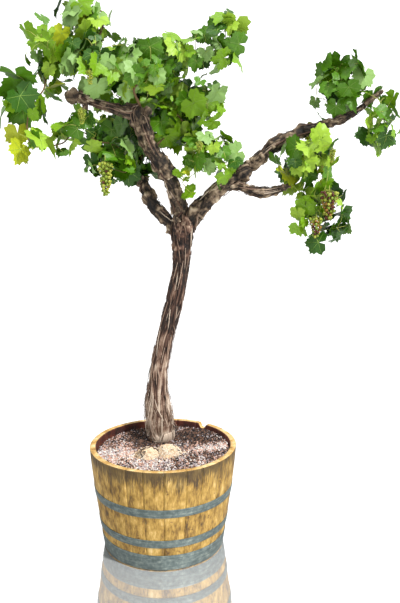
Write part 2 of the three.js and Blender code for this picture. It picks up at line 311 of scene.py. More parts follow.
def solid_of(name):
    """A node's triangles, as an array of count by 3 corners by 3 numbers."""
    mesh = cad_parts[name].data
    mesh.calc_loop_triangles()
    corners = np.empty(len(mesh.vertices) * 3)
    mesh.vertices.foreach_get("co", corners)
    index = np.empty(len(mesh.loop_triangles) * 3, np.int32)
    mesh.loop_triangles.foreach_get("vertices", index)
    return corners.reshape(-1, 3)[index].reshape(-1, 3, 3)


def middle_of(name):
    """The middle of a node's box, and half its size."""
    low, high = (np.array(corner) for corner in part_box(name))
    return (low + high) / 2, (high - low) / 2


def cut(triangles, point, normal):
    """The stretches where a plane crosses the triangles. Each end is where an edge's height over the
    plane changes sign."""
    height = (triangles - point) @ normal
    crossed = (height > 0).any(1) & (height <= 0).any(1)
    corner, high = triangles[crossed], height[crossed]
    beside, next_high = np.roll(corner, -1, 1), np.roll(high, -1, 1)
    drop = np.where(high == next_high, 1, high - next_high)
    crossing = corner + (high / drop)[..., None] * (beside - corner)
    return crossing[(high > 0) != (next_high > 0)].reshape(-1, 2, 3)


def section(triangles, point, normal, reach):
    """Centre and radius of a solid's section by a plane: the mean of the stretches' middles, weighted by
    length, and their whole length over a turn. Stretches further than reach from the point are left out."""
    stretches = cut(triangles, point, normal)
    middles = stretches.mean(1)
    lengths = np.linalg.norm(stretches[:, 0] - stretches[:, 1], axis=1)
    lengths = lengths * (np.linalg.norm(middles - point, axis=1) < reach)
    if lengths.sum() < 1e-6:
        return point, np.nan
    return (middles * lengths[:, None]).sum(0) / lengths.sum(), lengths.sum() / TURN


def spine_of(name, root):
    """A limb's middle line and radius as rows of x, y, z and radius, from the end nearest root. The
    solid is cut across its longest direction, and again square to the line that gives."""
    triangles = solid_of(name)
    area = np.linalg.norm(np.cross(*(triangles[:, i] - triangles[:, 0] for i in (1, 2))), axis=1)
    middles = triangles.mean(1)
    middle = np.average(middles, axis=0, weights=area)
    axis = np.linalg.eigh(np.cov(middles.T, aweights=area))[1][:, -1]
    reach = (triangles.reshape(-1, 3) - middle) @ axis
    far, near = (np.linalg.norm(middle + axis * end - root) for end in (reach.max(), reach.min()))
    if far < near:
        axis, reach = -axis, -reach
    low, high = reach.min(), reach.max()
    count = max(int((high - low) / CUT_SPACING), 5)
    rows = []
    for share in np.linspace(0.5 / count, 1 - 0.5 / count, count):
        place = middle + axis * (low + (high - low) * share)
        rows.append(np.append(*section(triangles, place, axis, 1.0)))
    rows = np.array(rows)
    ahead = unit(np.gradient(rows[:, :3], axis=0))
    again = []
    for row, way in zip(rows, ahead):
        centre, radius = section(triangles, row[:3], way, 2.2 * row[3])
        again.append([*centre, radius])
    spine = np.array(again)
    return spine[np.isfinite(spine).all(1)]


def limb_spines():
    """The middle line of every limb, each starting inside its parent."""
    spines = {}
    for name, parent in LIMBS.items():
        root = TRUNK_FOOT
        if parent:
            base = spines[parent][:, :3]
            root = base[-1] if parent != "trunk" else base[-4]
        spine = spine_of(name, root)
        start = spine[0].copy()
        start[:3] -= unit(spine[1, :3] - spine[0, :3]) * (JOINT_OVERLAP if parent else 0.012)
        finish = spine[-1].copy()
        finish[:3] += unit(spine[-1, :3] - spine[-2, :3]) * CUT_SPACING * 0.6
        finish[3] *= 0.75
        spine = np.vstack([start, spine, finish])
        if parent:
            spine[:3, 3] *= JOINT_TAPER
        spines[name] = spine
    return spines


SPINES = limb_spines()


# Materials


def add(tree, kind, values=None, links=None, stops=None, **settings):
    """Adds a node: settings go on the node, values on its inputs, and links join outputs to its inputs.
    stops are a colour ramp's places and colours."""
    made = tree.nodes.new(kind)
    for key, value in settings.items():
        setattr(made, key, value)
    for key, value in (values or {}).items():
        made.inputs[key].default_value = value
    for key, output in (links or {}).items():
        tree.links.new(output, made.inputs[key])
    if stops:
        elements = made.color_ramp.elements
        while len(elements) < len(stops):
            elements.new(0.5)
        for element, (place, code) in zip(elements, stops):
            element.position = place
            element.color = linear(code)
    return made


def stretched(tree, place, sizes):
    """The object's own coordinates, counted in cells of these sizes along x, y and z."""
    scale = tuple(1 / size for size in sizes)
    return add(tree, "ShaderNodeMapping", {"Scale": scale}, {"Vector": place.outputs["Object"]})


def weighted(tree, first, share, second):
    """A value times a share, plus another value."""
    links = {0: first.outputs[0], 2: second.outputs[0]}
    return add(tree, "ShaderNodeMath", {1: share}, links, operation="MULTIPLY_ADD")


def noise_node(tree, place, scale, detail, roughness=0.5):
    """Noise over the object's own coordinates, or over what a mapping node makes of them."""
    source = place.outputs["Object"] if "Object" in place.outputs else place.outputs[0]
    values = {"Scale": scale, "Detail": detail, "Roughness": roughness}
    return add(tree, "ShaderNodeTexNoise", values, {"Vector": source})


def new_material(name):
    """An empty material with its tree and output."""
    material = bpy.data.materials.new(name)
    material.use_nodes = True
    tree = material.node_tree
    tree.nodes.clear()
    return material, tree, add(tree, "ShaderNodeOutputMaterial")


def leaf_blade(name, colour, roughness=0.46):
    """Vine leaf: a thin waxy blade, so a plain green with a soft gloss, puckered between its veins every
    13 mm or so."""
    material, tree, output = new_material(name)
    place = add(tree, "ShaderNodeTexCoord")
    pucker = noise_node(tree, place, 1 / 0.013, 3.0)
    bump = add(tree, "ShaderNodeBump", {"Strength": 0.55, "Distance": 0.0045}, {"Height": pucker.outputs[0]})
    add_skin(tree, output, tuple(colour), roughness, bump, gloss=0.32)
    return material


def add_skin(tree, output, colour, roughness, bump, metallic=0.0, gloss=0.5):
    """The Principled shader of a material. A colour or roughness may be an output to link or a value."""
    values = {"Metallic": metallic, "Specular IOR Level": gloss}
    links = {"Normal": bump.outputs["Normal"]}
    for key, given in (("Base Color", colour), ("Roughness", roughness)):
        (links if isinstance(given, bpy.types.NodeSocket) else values)[key] = given
    shader = add(tree, "ShaderNodeBsdfPrincipled", values, links)
    tree.links.new(shader.outputs[0], output.inputs["Surface"])


def bark_skin(name, stops):
    """Old vine bark: dry stringy strips with no gloss, bleached on the ridges and dark in the cracks, where
    the dark is partly the bark's own colour and partly painted shade. The tone at each point is its height
    in the relief, and a 4 mm speckle varies it."""
    material, tree, output = new_material(name)
    place = add(tree, "ShaderNodeTexCoord")
    tone = add(tree, "ShaderNodeAttribute", attribute_name="tone")
    fibre = noise_node(tree, place, 1 / 0.004, 3.0)
    varied = add(
        tree,
        "ShaderNodeMath",
        {1: 0.35, 2: -0.175},
        {0: fibre.outputs[0]},
        operation="MULTIPLY_ADD",
    )
    summed = add(tree, "ShaderNodeMath", links={0: tone.outputs["Fac"], 1: varied.outputs[0]})
    ramp = add(tree, "ShaderNodeValToRGB", links={"Fac": summed.outputs[0]}, stops=stops)
    bump = add(tree, "ShaderNodeBump", {"Strength": 0.6, "Distance": 0.0015}, {"Height": fibre.outputs[0]})
    add_skin(tree, output, ramp.outputs["Color"], 0.88, bump)
    return material


# The bark's tones, from the bottom of the cracks to the ridges. The darkest, in the cracks, are partly
# painted shade.
BARK_STOPS = (
    (0.18, "#120a06"),
    (0.38, "#38241a"),
    (0.57, "#5f4436"),
    (0.76, "#947a67"),
    (0.95, "#cfbca8"),
)
BOUGH_STOPS = (
    (0.18, "#0e0a06"),
    (0.37, "#382d23"),
    (0.55, "#6e5c49"),
    (0.74, "#a7937a"),
    (0.95, "#d3c5ad"),
)


def oak_boards():
    """Weathered oak boards, planed and oiled long ago: golden, with grain down the board every 3.5 mm,
    dark knots, and a band of grey-black streaks under the mouth where rain has run down."""
    material, tree, output = new_material("oak_weathered")
    place = add(tree, "ShaderNodeTexCoord")
    board = add(tree, "ShaderNodeAttribute", attribute_name="tone")
    grain_place = stretched(tree, place, (0.0035, 0.0035, 0.09))
    grain = noise_node(tree, grain_place, 1.0, 3.0, 0.6)
    patch_place = stretched(tree, place, (0.035, 0.035, 0.075))
    patches = noise_node(tree, patch_place, 1.0, 3.0, 0.65)
    mixed = weighted(tree, grain, 0.55, patches)
    shifted = add(tree, "ShaderNodeMath", links={0: mixed.outputs[0], 1: board.outputs["Fac"]})
    wood = add(
        tree,
        "ShaderNodeValToRGB",
        links={"Fac": shifted.outputs[0]},
        stops=(
            (0.46, "#3e2b10"),
            (0.60, "#7b5c22"),
            (0.74, "#a88438"),
            (0.90, "#c8a357"),
            (1.0, "#dabd80"),
        ),
    )
    # Rain streaks: they start at the mouth and end ragged, 60 to 110 mm down.
    streak_place = stretched(tree, place, (0.0045, 0.0045, 0.16))
    streaks = noise_node(tree, streak_place, 1.0, 2.0, 0.6)
    height = add(tree, "ShaderNodeSeparateXYZ", links={0: place.outputs["Object"]})
    depth = add(
        tree,
        "ShaderNodeMapRange",
        {"From Min": CASK_HEIGHT - 0.15, "From Max": CASK_HEIGHT - 0.01, "To Min": -0.62, "To Max": 0.34},
        {"Value": height.outputs["Z"]},
    )
    broad = noise_node(tree, place, 1 / 0.12, 1.0)
    reach = weighted(tree, streaks, 1.5, depth)
    reach = weighted(tree, broad, 0.8, reach)
    stained = add(
        tree,
        "ShaderNodeMapRange",
        {"From Min": 0.96, "From Max": 1.40, "To Max": 0.82},
        {"Value": reach.outputs[0]},
    )
    dirt = add(
        tree,
        "ShaderNodeMixRGB",
        {2: linear("#35270f")},
        {0: stained.outputs[0], 1: wood.outputs["Color"]},
    )
    # Knots and stains: dark spots 5 to 15 mm wide, few and far between.
    knots = noise_node(tree, place, 1 / 0.03, 2.0, 0.7)
    knotted = add(
        tree,
        "ShaderNodeMapRange",
        {"From Min": 0.64, "From Max": 0.74, "To Max": 0.8},
        {"Value": knots.outputs[0]},
    )
    surface = add(
        tree,
        "ShaderNodeMixRGB",
        {2: linear("#4a2a10")},
        {0: knotted.outputs[0], 1: dirt.outputs[0]},
    )
    bump = add(tree, "ShaderNodeBump", {"Strength": 0.5, "Distance": 0.0012}, {"Height": grain.outputs[0]})
    add_skin(tree, output, surface.outputs[0], 0.62, bump)
    return material


def sawn_oak(name, stops):
    """Sawn oak: rough and dry, with a 4 mm speckle of open pores in 48 mm patches. The same saw face,
    soaked with wine, is the cask's inside."""
    material, tree, output = new_material(name)
    place = add(tree, "ShaderNodeTexCoord")
    pores = noise_node(tree, place, 1 / 0.004, 3.0)
    broad = noise_node(tree, place, 1 / 0.048, 2.0)
    mixed = weighted(tree, pores, 0.5, broad)
    ramp = add(tree, "ShaderNodeValToRGB", links={"Fac": mixed.outputs[0]}, stops=stops)
    bump = add(tree, "ShaderNodeBump", {"Strength": 0.5, "Distance": 0.001}, {"Height": pores.outputs[0]})
    add_skin(tree, output, ramp.outputs["Color"], 0.7, bump)
    return material


def hoop_iron():
    """Galvanised hoop iron, rolled: dull blue-grey with pale zinc bloom in 20 mm patches, and faint rolling
    marks along the hoop."""
    material, tree, output = new_material("galvanised_hoop_iron")
    place = add(tree, "ShaderNodeTexCoord")
    marks_place = stretched(tree, place, (0.09, 0.09, 0.006))
    marks = noise_node(tree, marks_place, 1.0, 3.0)
    bloom = noise_node(tree, place, 1 / 0.022, 4.0, 0.65)
    mixed = weighted(tree, marks, 0.6, bloom)
    ramp = add(
        tree,
        "ShaderNodeValToRGB",
        links={"Fac": mixed.outputs[0]},
        stops=((0.45, "#3b4645"), (0.75, "#54615f"), (0.95, "#727d79"), (1.0, "#878f86")),
    )
    rough = add(
        tree,
        "ShaderNodeMapRange",
        {"To Min": 0.42, "To Max": 0.62},
        {"Value": bloom.outputs[0]},
    )
    bump = add(tree, "ShaderNodeBump", {"Strength": 0.25, "Distance": 0.0008}, {"Height": mixed.outputs[0]})
    add_skin(tree, output, ramp.outputs["Color"], rough.outputs[0], bump, metallic=0.35)
    return material


def grit(name, code):
    """Crushed stone or soil: matt, of one plain colour, with 4 mm pits and crumbs in its relief."""
    material, tree, output = new_material(name)
    place = add(tree, "ShaderNodeTexCoord")
    pits = noise_node(tree, place, 1 / 0.004, 3.0)
    bump = add(tree, "ShaderNodeBump", {"Strength": 0.6, "Distance": 0.002}, {"Height": pits.outputs[0]})
    add_skin(tree, output, linear(code), 0.85, bump)
    return material


def colour_property(name, description, code):
    """A colour that the panel shows, from sRGB hex."""
    return bpy.props.FloatVectorProperty(
        name=name, description=description, subtype="COLOR", size=4, min=0, max=1, default=linear(code)
    )


def length_property(name, description, default):
    """A length that the panel shows, in metres."""
    return bpy.props.FloatProperty(
        name=name, description=description, default=default, min=0.0001, unit="LENGTH", precision=4
    )


def count_property(name, description, default):
    """A number of things that the panel shows."""
    return bpy.props.IntProperty(name=name, description=description, default=default, min=0)


# The cask


def cask_radius(height):
    """Outer radius at a height: the mouth's, less the belly's curve (1 - height share) to the power 1.25."""
    share = np.clip(height / CASK_HEIGHT, 0, 1)
    return FOOT_RADIUS + (MOUTH_RADIUS - FOOT_RADIUS) * (1 - (1 - share) ** BULGE)


def bearing_of(name):
    """A stave's middle bearing and half the angle it takes up, from its node."""
    points = solid_of(name).reshape(-1, 3)
    bearing = np.arctan2(points[:, 1], points[:, 0])
    middle = np.arctan2(np.sin(bearing).mean(), np.cos(bearing).mean())
    beside = (bearing - middle + np.pi) % TURN - np.pi
    return middle + (beside.max() + beside.min()) / 2, (beside.max() - beside.min()) / 2


def stave(name, gap, chamfer, materials):
    """One stave: its section, a slice of a ring with rounded corners, is carried up from the foot. The
    outer wall follows the cask's radius at each height, and the top is lower where the rim is bitten."""
    draw = seeded(name)
    middle, half = bearing_of(name)
    facets = 9
    across = np.linspace(-1, 1, facets)
    inset = chamfer * np.clip((np.abs(across) - 0.8) / 0.2, 0, 1) ** 2
    side = np.concatenate([across, across[::-1]])
    level = np.concatenate([-inset, -STAVE_THICKNESS + inset[::-1]])
    reach = half - gap / MOUTH_RADIUS / 2
    bearing = middle + side * reach
    away = (bearing - BITE_BEARING + np.pi) % TURN - np.pi
    jag = 1 + 0.35 * noise(np.stack([bearing * 60, level * 150, np.zeros(len(level))], -1), 5)
    bite = BITE_DEPTH * ease(1.0, 0.35, np.abs(away) * MOUTH_RADIUS / (BITE_WIDTH / 2) * jag)
    top = CASK_HEIGHT - bite - 0.0006 * draw.random()
    share = np.concatenate([[0, 0.004], np.linspace(0.02, 0.985, 24), [0.997, 1]])
    height = share[:, None] * top[None, :]
    rim = np.array([0.0012] + [0] * 26 + [0.0012])[:, None]
    rim = rim * np.where(np.arange(2 * facets) < facets, -1, 1)
    radius = cask_radius(height) + level[None, :] + rim
    waves = np.stack([bearing[None, :] * 9 + 0 * height, height * 7, 0 * height + draw.random() * 50], -1)
    radius = radius + 0.0007 * noise(waves, 3)
    points = np.stack([radius * np.cos(bearing), radius * np.sin(bearing), height], -1)
    rows, columns = height.shape
    walls = grid_faces(rows, columns)
    first = (rows - 1) * columns
    near = np.arange(facets - 1)
    far = columns - 1 - near
    lid = np.stack([near, near + 1, far - 1, far], -1)
    faces = np.vstack([walls, lid + first, lid[:, ::-1]])
    column = np.arange(len(walls)) % columns
    inside = (column >= facets) & (column < columns - 1)
    shades = np.concatenate([np.where(inside, 2, 0), np.full(facets - 1, 1), np.full(facets - 1, 0)])
    shade = (draw.random() - 0.5) * 0.06 - 0.05
    tones = np.full(points.shape[:2], shade)
    piece = build(name + "_board", points, [faces], materials, shades, {"tone": tones})
    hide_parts(name)


def hoop(name, thickness, material, seam_bearing):
    """One hoop: its section, a thin bar with rounded edges that leans with the cask, is carried round.
    The last 60 mm laps over the first, held by two rivets."""
    low, high = (corner.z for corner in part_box(name))
    turns = 192
    round_share = np.arange(turns) / turns
    bearing = seam_bearing + round_share * TURN
    edge = np.array([0, 0.0, 0.012, 0.06, 0.5, 0.94, 0.988, 1.0, 1.0])
    proud = np.array([0, 0.35, 0.8, 1.0, 1.0, 1.0, 0.8, 0.35, 0])
    height = low + (high - low) * edge
    lap = ease(0.060, 0.056, bearing[:, None] * 0 + (round_share * TURN * MOUTH_RADIUS)[:, None])
    dents = np.stack([np.cos(bearing) * 4, np.sin(bearing) * 4, np.full(turns, low * 30)], -1)
    radius = cask_radius(height)[None, :] + 0.0004 + thickness * proud * (1 + lap)
    radius = radius + 0.0005 * noise(dents, 8)[:, None]
    height = np.broadcast_to(height, radius.shape)
    points = np.stack([radius * np.cos(bearing)[:, None], radius * np.sin(bearing)[:, None], height], -1)
    rows, columns = radius.shape
    heap = Heap()
    faces = grid_faces(rows + 1, columns, False) % (rows * columns)
    closing = np.stack([np.arange(rows) * columns + columns - 1, np.arange(rows) * columns], -1)
    closing = np.hstack([closing, np.roll(closing, -1, 0)[:, ::-1]])
    heap.add(points, [np.vstack([faces, closing])[:, ::-1]])
    for lift in (0.28, 0.72):
        add_rivet(heap, seam_bearing + 0.030 / MOUTH_RADIUS, low + (high - low) * lift, thickness)
    piece = heap.piece(name + "_band", [material])
    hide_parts(name)


def add_rivet(heap, bearing, height, thickness):
    """A rivet's head: a dome 9 mm wide, radius 4.5 mm cos e, raised 1.6 mm sin e."""
    out = np.array([np.cos(bearing), np.sin(bearing), 0])
    side = np.array([-np.sin(bearing), np.cos(bearing), 0])
    up = np.array([0, 0, 1.0])
    base = out * (cask_radius(height) + 2 * thickness) + up * height
    rise = np.linspace(-0.2, np.pi / 2, 5)[:-1]
    angle = np.arange(12) / 12 * TURN
    ring = side * np.cos(angle)[:, None] + up * np.sin(angle)[:, None]
    dome = base + ring[None] * (0.0045 * np.cos(rise))[:, None, None]
    dome = dome + out * (0.0016 * np.sin(rise))[:, None, None]
    points = np.vstack([dome.reshape(-1, 3), base + out * 0.0016, base - out * 0.001])
    tips = np.vstack([fan_faces(36, 12, 48), fan_faces(0, 12, 49, False)])
    heap.add(points, [grid_faces(4, 12), tips])


# The soil


def soil_height(places):
    """The soil's height at x, y: the mean of its node's upper points, each weighted by one over the
    fourth power of its distance."""
    points = solid_of("soil").reshape(-1, 3)
    inner = np.hypot(points[:, 0], points[:, 1]) < 0.9 * np.hypot(points[:, 0], points[:, 1]).max()
    upper = np.unique(points[inner & (points[:, 2] > middle_of("soil")[0][2])].round(5), axis=0)
    gap = np.linalg.norm(places[..., None, :] - upper[:, :2], axis=-1)
    weight = 1 / (gap + 0.012) ** 4
    out = np.linalg.norm(places, axis=-1) / (MOUTH_RADIUS - STAVE_THICKNESS)
    return (weight * upper[:, 2]).sum(-1) / weight.sum(-1) + 0.004 * ease(0.70, 1.0, out)


def soil_surface(name, material):
    """The soil: a disc of rings whose height is its node's, roughened by two sizes of crumb."""
    rings, spokes = 46, 150
    share = np.linspace(0, 1, rings)[1:]
    angle = np.arange(spokes) / spokes * TURN
    reach = cask_radius(SOIL_TOP) - STAVE_THICKNESS - 0.0015
    flat = np.stack([share[:, None] * np.cos(angle), share[:, None] * np.sin(angle)], -1) * reach
    height = soil_height(flat) - 0.003
    spread = np.concatenate([flat, height[..., None]], -1)
    height = height + 0.003 * noise(spread / 0.02, 1) + 0.0015 * noise(spread / 0.008, 2)
    top = np.concatenate([flat, height[..., None]], -1)
    centre = soil_height(np.zeros((1, 2)))[0]
    skirt = top[-1] * [0.985, 0.985, 1] + [0, 0, -0.03]
    points = np.vstack([top.reshape(-1, 3), skirt, [0, 0, centre], [0, 0, centre - 0.045]])
    count = rings * spokes
    tips = np.vstack([fan_faces(0, spokes, count), fan_faces(count - spokes, spokes, count + 1, False)])
    piece = build(name, points, [grid_faces(rings, spokes)[:, ::-1], tips], [material])
    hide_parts("soil")


CHIP_CORNERS = np.array([[x, y, z] for x in (-1, 1) for y in (-1, 1) for z in (-1, 1)], float)
CHIP_FACES = np.array([[0, 1, 3, 2], [4, 6, 7, 5], [0, 4, 5, 1], [2, 3, 7, 6], [0, 2, 6, 4], [1, 5, 7, 3]])


def turned(draw, count):
    """Random rotations, from unit quaternions of four normal draws."""
    w, x, y, z = unit(draw.normal(size=(count, 4))).T
    rows = [
        [1 - 2 * (y * y + z * z), 2 * (x * y - w * z), 2 * (x * z + w * y)],
        [2 * (x * y + w * z), 1 - 2 * (x * x + z * z), 2 * (y * z - w * x)],
        [2 * (x * z - w * y), 2 * (y * z + w * x), 1 - 2 * (x * x + y * y)],
    ]
    return np.moveaxis(np.array(rows), 2, 0)


def chips(name, places, size, material):
    """Stone chips: blocks of eight corners, each moved by up to a third of its size, turned every way
    and half sunk in the soil."""
    draw = seeded(name)
    count = len(places)
    shape = CHIP_CORNERS * draw.uniform(0.55, 1.0, (count, 1, 3))
    shape = shape + draw.uniform(-0.33, 0.33, (count, 8, 3))
    scale = size * draw.uniform(0.5, 1.0, (count, 1, 1)) ** 1.5
    shape = np.einsum("nij,nkj->nki", turned(draw, count), shape * scale)
    points = shape + places[:, None]
    piece = build(name, points, [repeated(CHIP_FACES, count, 8)], [material], smooth=False)


def straw_lump(heap, x, y, width, name):
    """A lump of dry roots and straw: a dome of fibres, each an arc over the dome in its own direction."""
    draw = seeded(name)
    base = np.array([x, y, soil_height(np.array([[x, y]]))[0] - 0.002])
    rise = np.linspace(0, np.pi / 2, 8)[:-1]
    angle = np.arange(22) / 22 * TURN
    around = np.stack([np.cos(angle), np.sin(angle), 0 * angle], -1)
    dome = around[None] * np.cos(rise)[:, None, None] + np.array([0, 0, 0.40]) * np.sin(rise)[:, None, None]
    dome = dome * (1 + 0.34 * noise(dome * 2.2 + base * 100, 4))[..., None] * width / 2
    points = np.vstack([dome.reshape(-1, 3), [0, 0, width * 0.20], [0, 0, 0]]) + base
    tips = np.vstack([fan_faces(6 * 22, 22, 154), fan_faces(0, 22, 155, False)])
    heap.add(points, [grid_faces(7, 22), tips], 0)
    for _ in range(STRAWS):
        bearing, offset = draw.uniform(0, TURN), draw.uniform(-0.9, 0.9)
        run = np.linspace(-1, 1, 7) * draw.uniform(0.3, 1.0)
        along = np.array([np.cos(bearing), np.sin(bearing)])
        aside = np.array([-along[1], along[0]])
        flat = run[:, None] * along + (offset + 0.12 * draw.normal(size=(7, 1))) * aside
        lift = draw.uniform(0.40, 0.62) * np.sqrt(np.clip(1 - (flat**2).sum(1), 0, 1)) + 0.02
        path = base + np.column_stack([flat, lift]) * width / 2
        tube(heap, path, width * draw.uniform(0.009, 0.019), 3, int(draw.integers(0, 2)))


# Trunk and boughs


# The width of the warts on a bough's bark, the points in a ring of bark, and how many strips have come
# away from the whole trunk, from its foot and from each bough.
WART = 0.022
TRUNK_SIDES = 160
BOUGH_SIDES = 104
TRUNK_STRIPS = 210
FOOT_STRIPS = 90
BOUGH_STRIPS = 26


def clad(name, spine, spacing, sides, look, material):
    """Bark round a limb: rings about its middle line, whose radius is the limb's plus strings (noise
    drawn out along the limb), finer fibres, knobs, warts and the cracks where the strings' noise or the
    warts' crosses nought. The tone is the height in that relief, so low places such as the cracks come out
    darker: partly the bark's own colour and partly painted shade."""
    path = smooth_path(spine, spacing)
    core, radius = path[:, :3], path[:, 3]
    along = np.arange(len(core)) * spacing
    _, across, up = frames_along(core)
    angle = np.arange(sides) / sides * TURN
    ring = across[:, None] * np.cos(angle)[:, None] + up[:, None] * np.sin(angle)[:, None]
    a, s = np.meshgrid(angle, along)
    seed = zlib.crc32(name.encode()) % 1000
    wander = look["wander"] * round_noise(a, s, 4, 0.09, seed) + look["twist"] * s
    strings = round_noise(a + wander, s, look["strings"], look["string_length"], seed + 1)
    fibres = round_noise(a + wander, s, look["strings"] * 2.7, look["string_length"] * 0.5, seed + 2)
    breaks = round_noise(a, s, look["strings"] * 0.8, 0.018, seed + 3)
    knobs = round_noise(a, s, 4, look["knob_length"], seed + 4)
    lumps = round_noise(a, s, 9, look["knob_length"] * 0.4, seed + 5)
    girth = TURN * radius.mean()
    warts = round_noise(a, s, girth / WART, WART, seed + 8)
    warts = warts + 0.7 * round_noise(a, s, 2 * girth / WART, WART / 2, seed + 9)
    crack = np.exp(-((strings / 0.17) ** 2))
    height = 0.55 * strings + 0.30 * fibres + 0.22 * breaks - 0.75 * crack
    warty = look["warty"](s)
    height = (1 - 0.7 * warty) * height + 0.80 * warty * (warts - 0.5 * np.exp(-((warts / 0.16) ** 2)))
    relief = look["depth"] * height + look["knob"] * (0.6 * knobs + 0.4 * lumps)
    relief = relief + warty * (0.004 * lumps + 0.0022 * warts)
    patches = round_noise(a, s, 3, 0.05, seed + 6)
    blotches = round_noise(a, s, 15, 0.012, seed + 7)
    # Lower in the relief is darker: in the cracks this is partly painted shade, along with the bark's own
    # darker colour.
    tone = 0.50 + 0.46 * height + 0.16 * patches + 0.10 * lumps + look["pale"](s)
    tone = tone + look["blotch"] * blotches
    end = along[-1] - along
    tip = np.sqrt(np.clip(1 - (1 - end / np.maximum(radius[-1], 0.004)).clip(0) ** 2, 0.0009, 1))
    skin_radius = (radius[:, None] + relief).clip(0.003) * tip[:, None]
    skin = core[:, None] + ring * skin_radius[..., None]
    rows = len(core)
    points = np.vstack([skin.reshape(-1, 3), core[0], core[-1]])
    tones = np.append(tone.ravel(), [0.3, 0.5])
    low = fan_faces(0, sides, rows * sides)
    high = fan_faces((rows - 1) * sides, sides, rows * sides + 1, False)
    faces = [grid_faces(rows, sides)[:, ::-1], np.vstack([low, high])]
    piece = build(name + "_bark", points, faces, [material], marks={"tone": tones})
    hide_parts(name)


def stub(heap, limb, share, reach, radius):
    """A pruned stub: a tapering bar from a limb's middle line, swollen at its cut end."""
    spine = SPINES[limb]
    start = spine[int(share * (len(spine) - 1)), :3]
    rows = sides = 26
    run = np.linspace(0, 1, rows)
    draw = seeded(limb)
    path = start + run[:, None] * np.array(reach)
    path = path + 0.12 * radius * np.sin(run * 9 + draw.random() * 6)[:, None]
    radii = radius * (1.25 - 0.45 * run + 0.28 * np.exp(-(((run - 0.85) / 0.12) ** 2)))
    radii = radii * np.sqrt(np.clip(1 - ((run - 0.9) / 0.1).clip(0) ** 2, 0.01, 1))
    _, across, up = frames_along(path)
    angle = np.arange(sides) / sides * TURN
    a, s = np.meshgrid(angle, run * np.linalg.norm(reach))
    rough = round_noise(a, s, 12, 0.02, 3) + 0.6 * round_noise(a, s, 24, 0.01, 4)
    ring = across[:, None] * np.cos(angle)[:, None] + up[:, None] * np.sin(angle)[:, None]
    skin = path[:, None] + ring * (radii[:, None] * (1 + 0.15 * rough))[..., None]
    points = np.vstack([skin.reshape(-1, 3), path[0], path[-1]])
    low = fan_faces(0, sides, rows * sides)
    high = fan_faces((rows - 1) * sides, sides, rows * sides + 1, False)
    # Darker where the stub's skin dips and lighter where it swells: partly the bark's own colour, partly
    # painted shade in the dips.
    tones = np.append((0.5 + 0.25 * rough).ravel(), [0.3, 0.6])
    heap.add(points, [grid_faces(rows, sides)[:, ::-1], np.vstack([low, high])], 0, tones)


def loose_strips(heap, name, count, lift, draw, low=0.0, high=1.0, pale=0.62):
    """Strips of bark that have come away: each is a flat bar along the limb, raised off it in an arch, or
    free at its lower end and curling away."""
    path = smooth_path(SPINES[name], 0.01)
    core, radius = path[:, :3], path[:, 3]
    ahead, across, up = frames_along(core)
    rows = len(core)
    for _ in range(count):
        length = int(draw.integers(5, 16))
        start = int(rows * draw.uniform(low, high)) - length // 2
        pick = np.clip(np.arange(start, start + length), 0, rows - 1)
        if pick[0] == pick[-1]:
            continue
        run = np.linspace(0, 1, length)
        angle = draw.uniform(0, TURN) + 0.35 * (run - 0.5) * draw.normal()
        out = across[pick] * np.cos(angle)[:, None] + up[pick] * np.sin(angle)[:, None]
        side = np.cross(out, ahead[pick])
        rise = 0.0015 + lift * np.sin(run * np.pi) * draw.random()
        if draw.random() < 0.35:
            rise = rise + lift * 2.2 * draw.random() * (1 - run) ** 2
        middle = core[pick] + out * (radius[pick] + rise)[:, None]
        width = draw.uniform(0.0012, 0.0042) * np.sin(np.pi * (0.12 + 0.76 * run))
        thick = 0.0007
        ring = np.stack([side * width[:, None], out * thick, -side * width[:, None], -out * thick], 1)
        points = (middle[:, None] + ring).reshape(-1, 3)
        ends = np.array([[0, 1, 2, 3], [3, 2, 1, 0]]) + [[0], [(length - 1) * 4]]
        tone = np.clip(draw.normal(pale, 0.2), 0.1, 1.0)
        heap.add(points, [np.vstack([grid_faces(length, 4), ends[:, ::-1]])], 0, tone)


# Canes, leaves and fruit

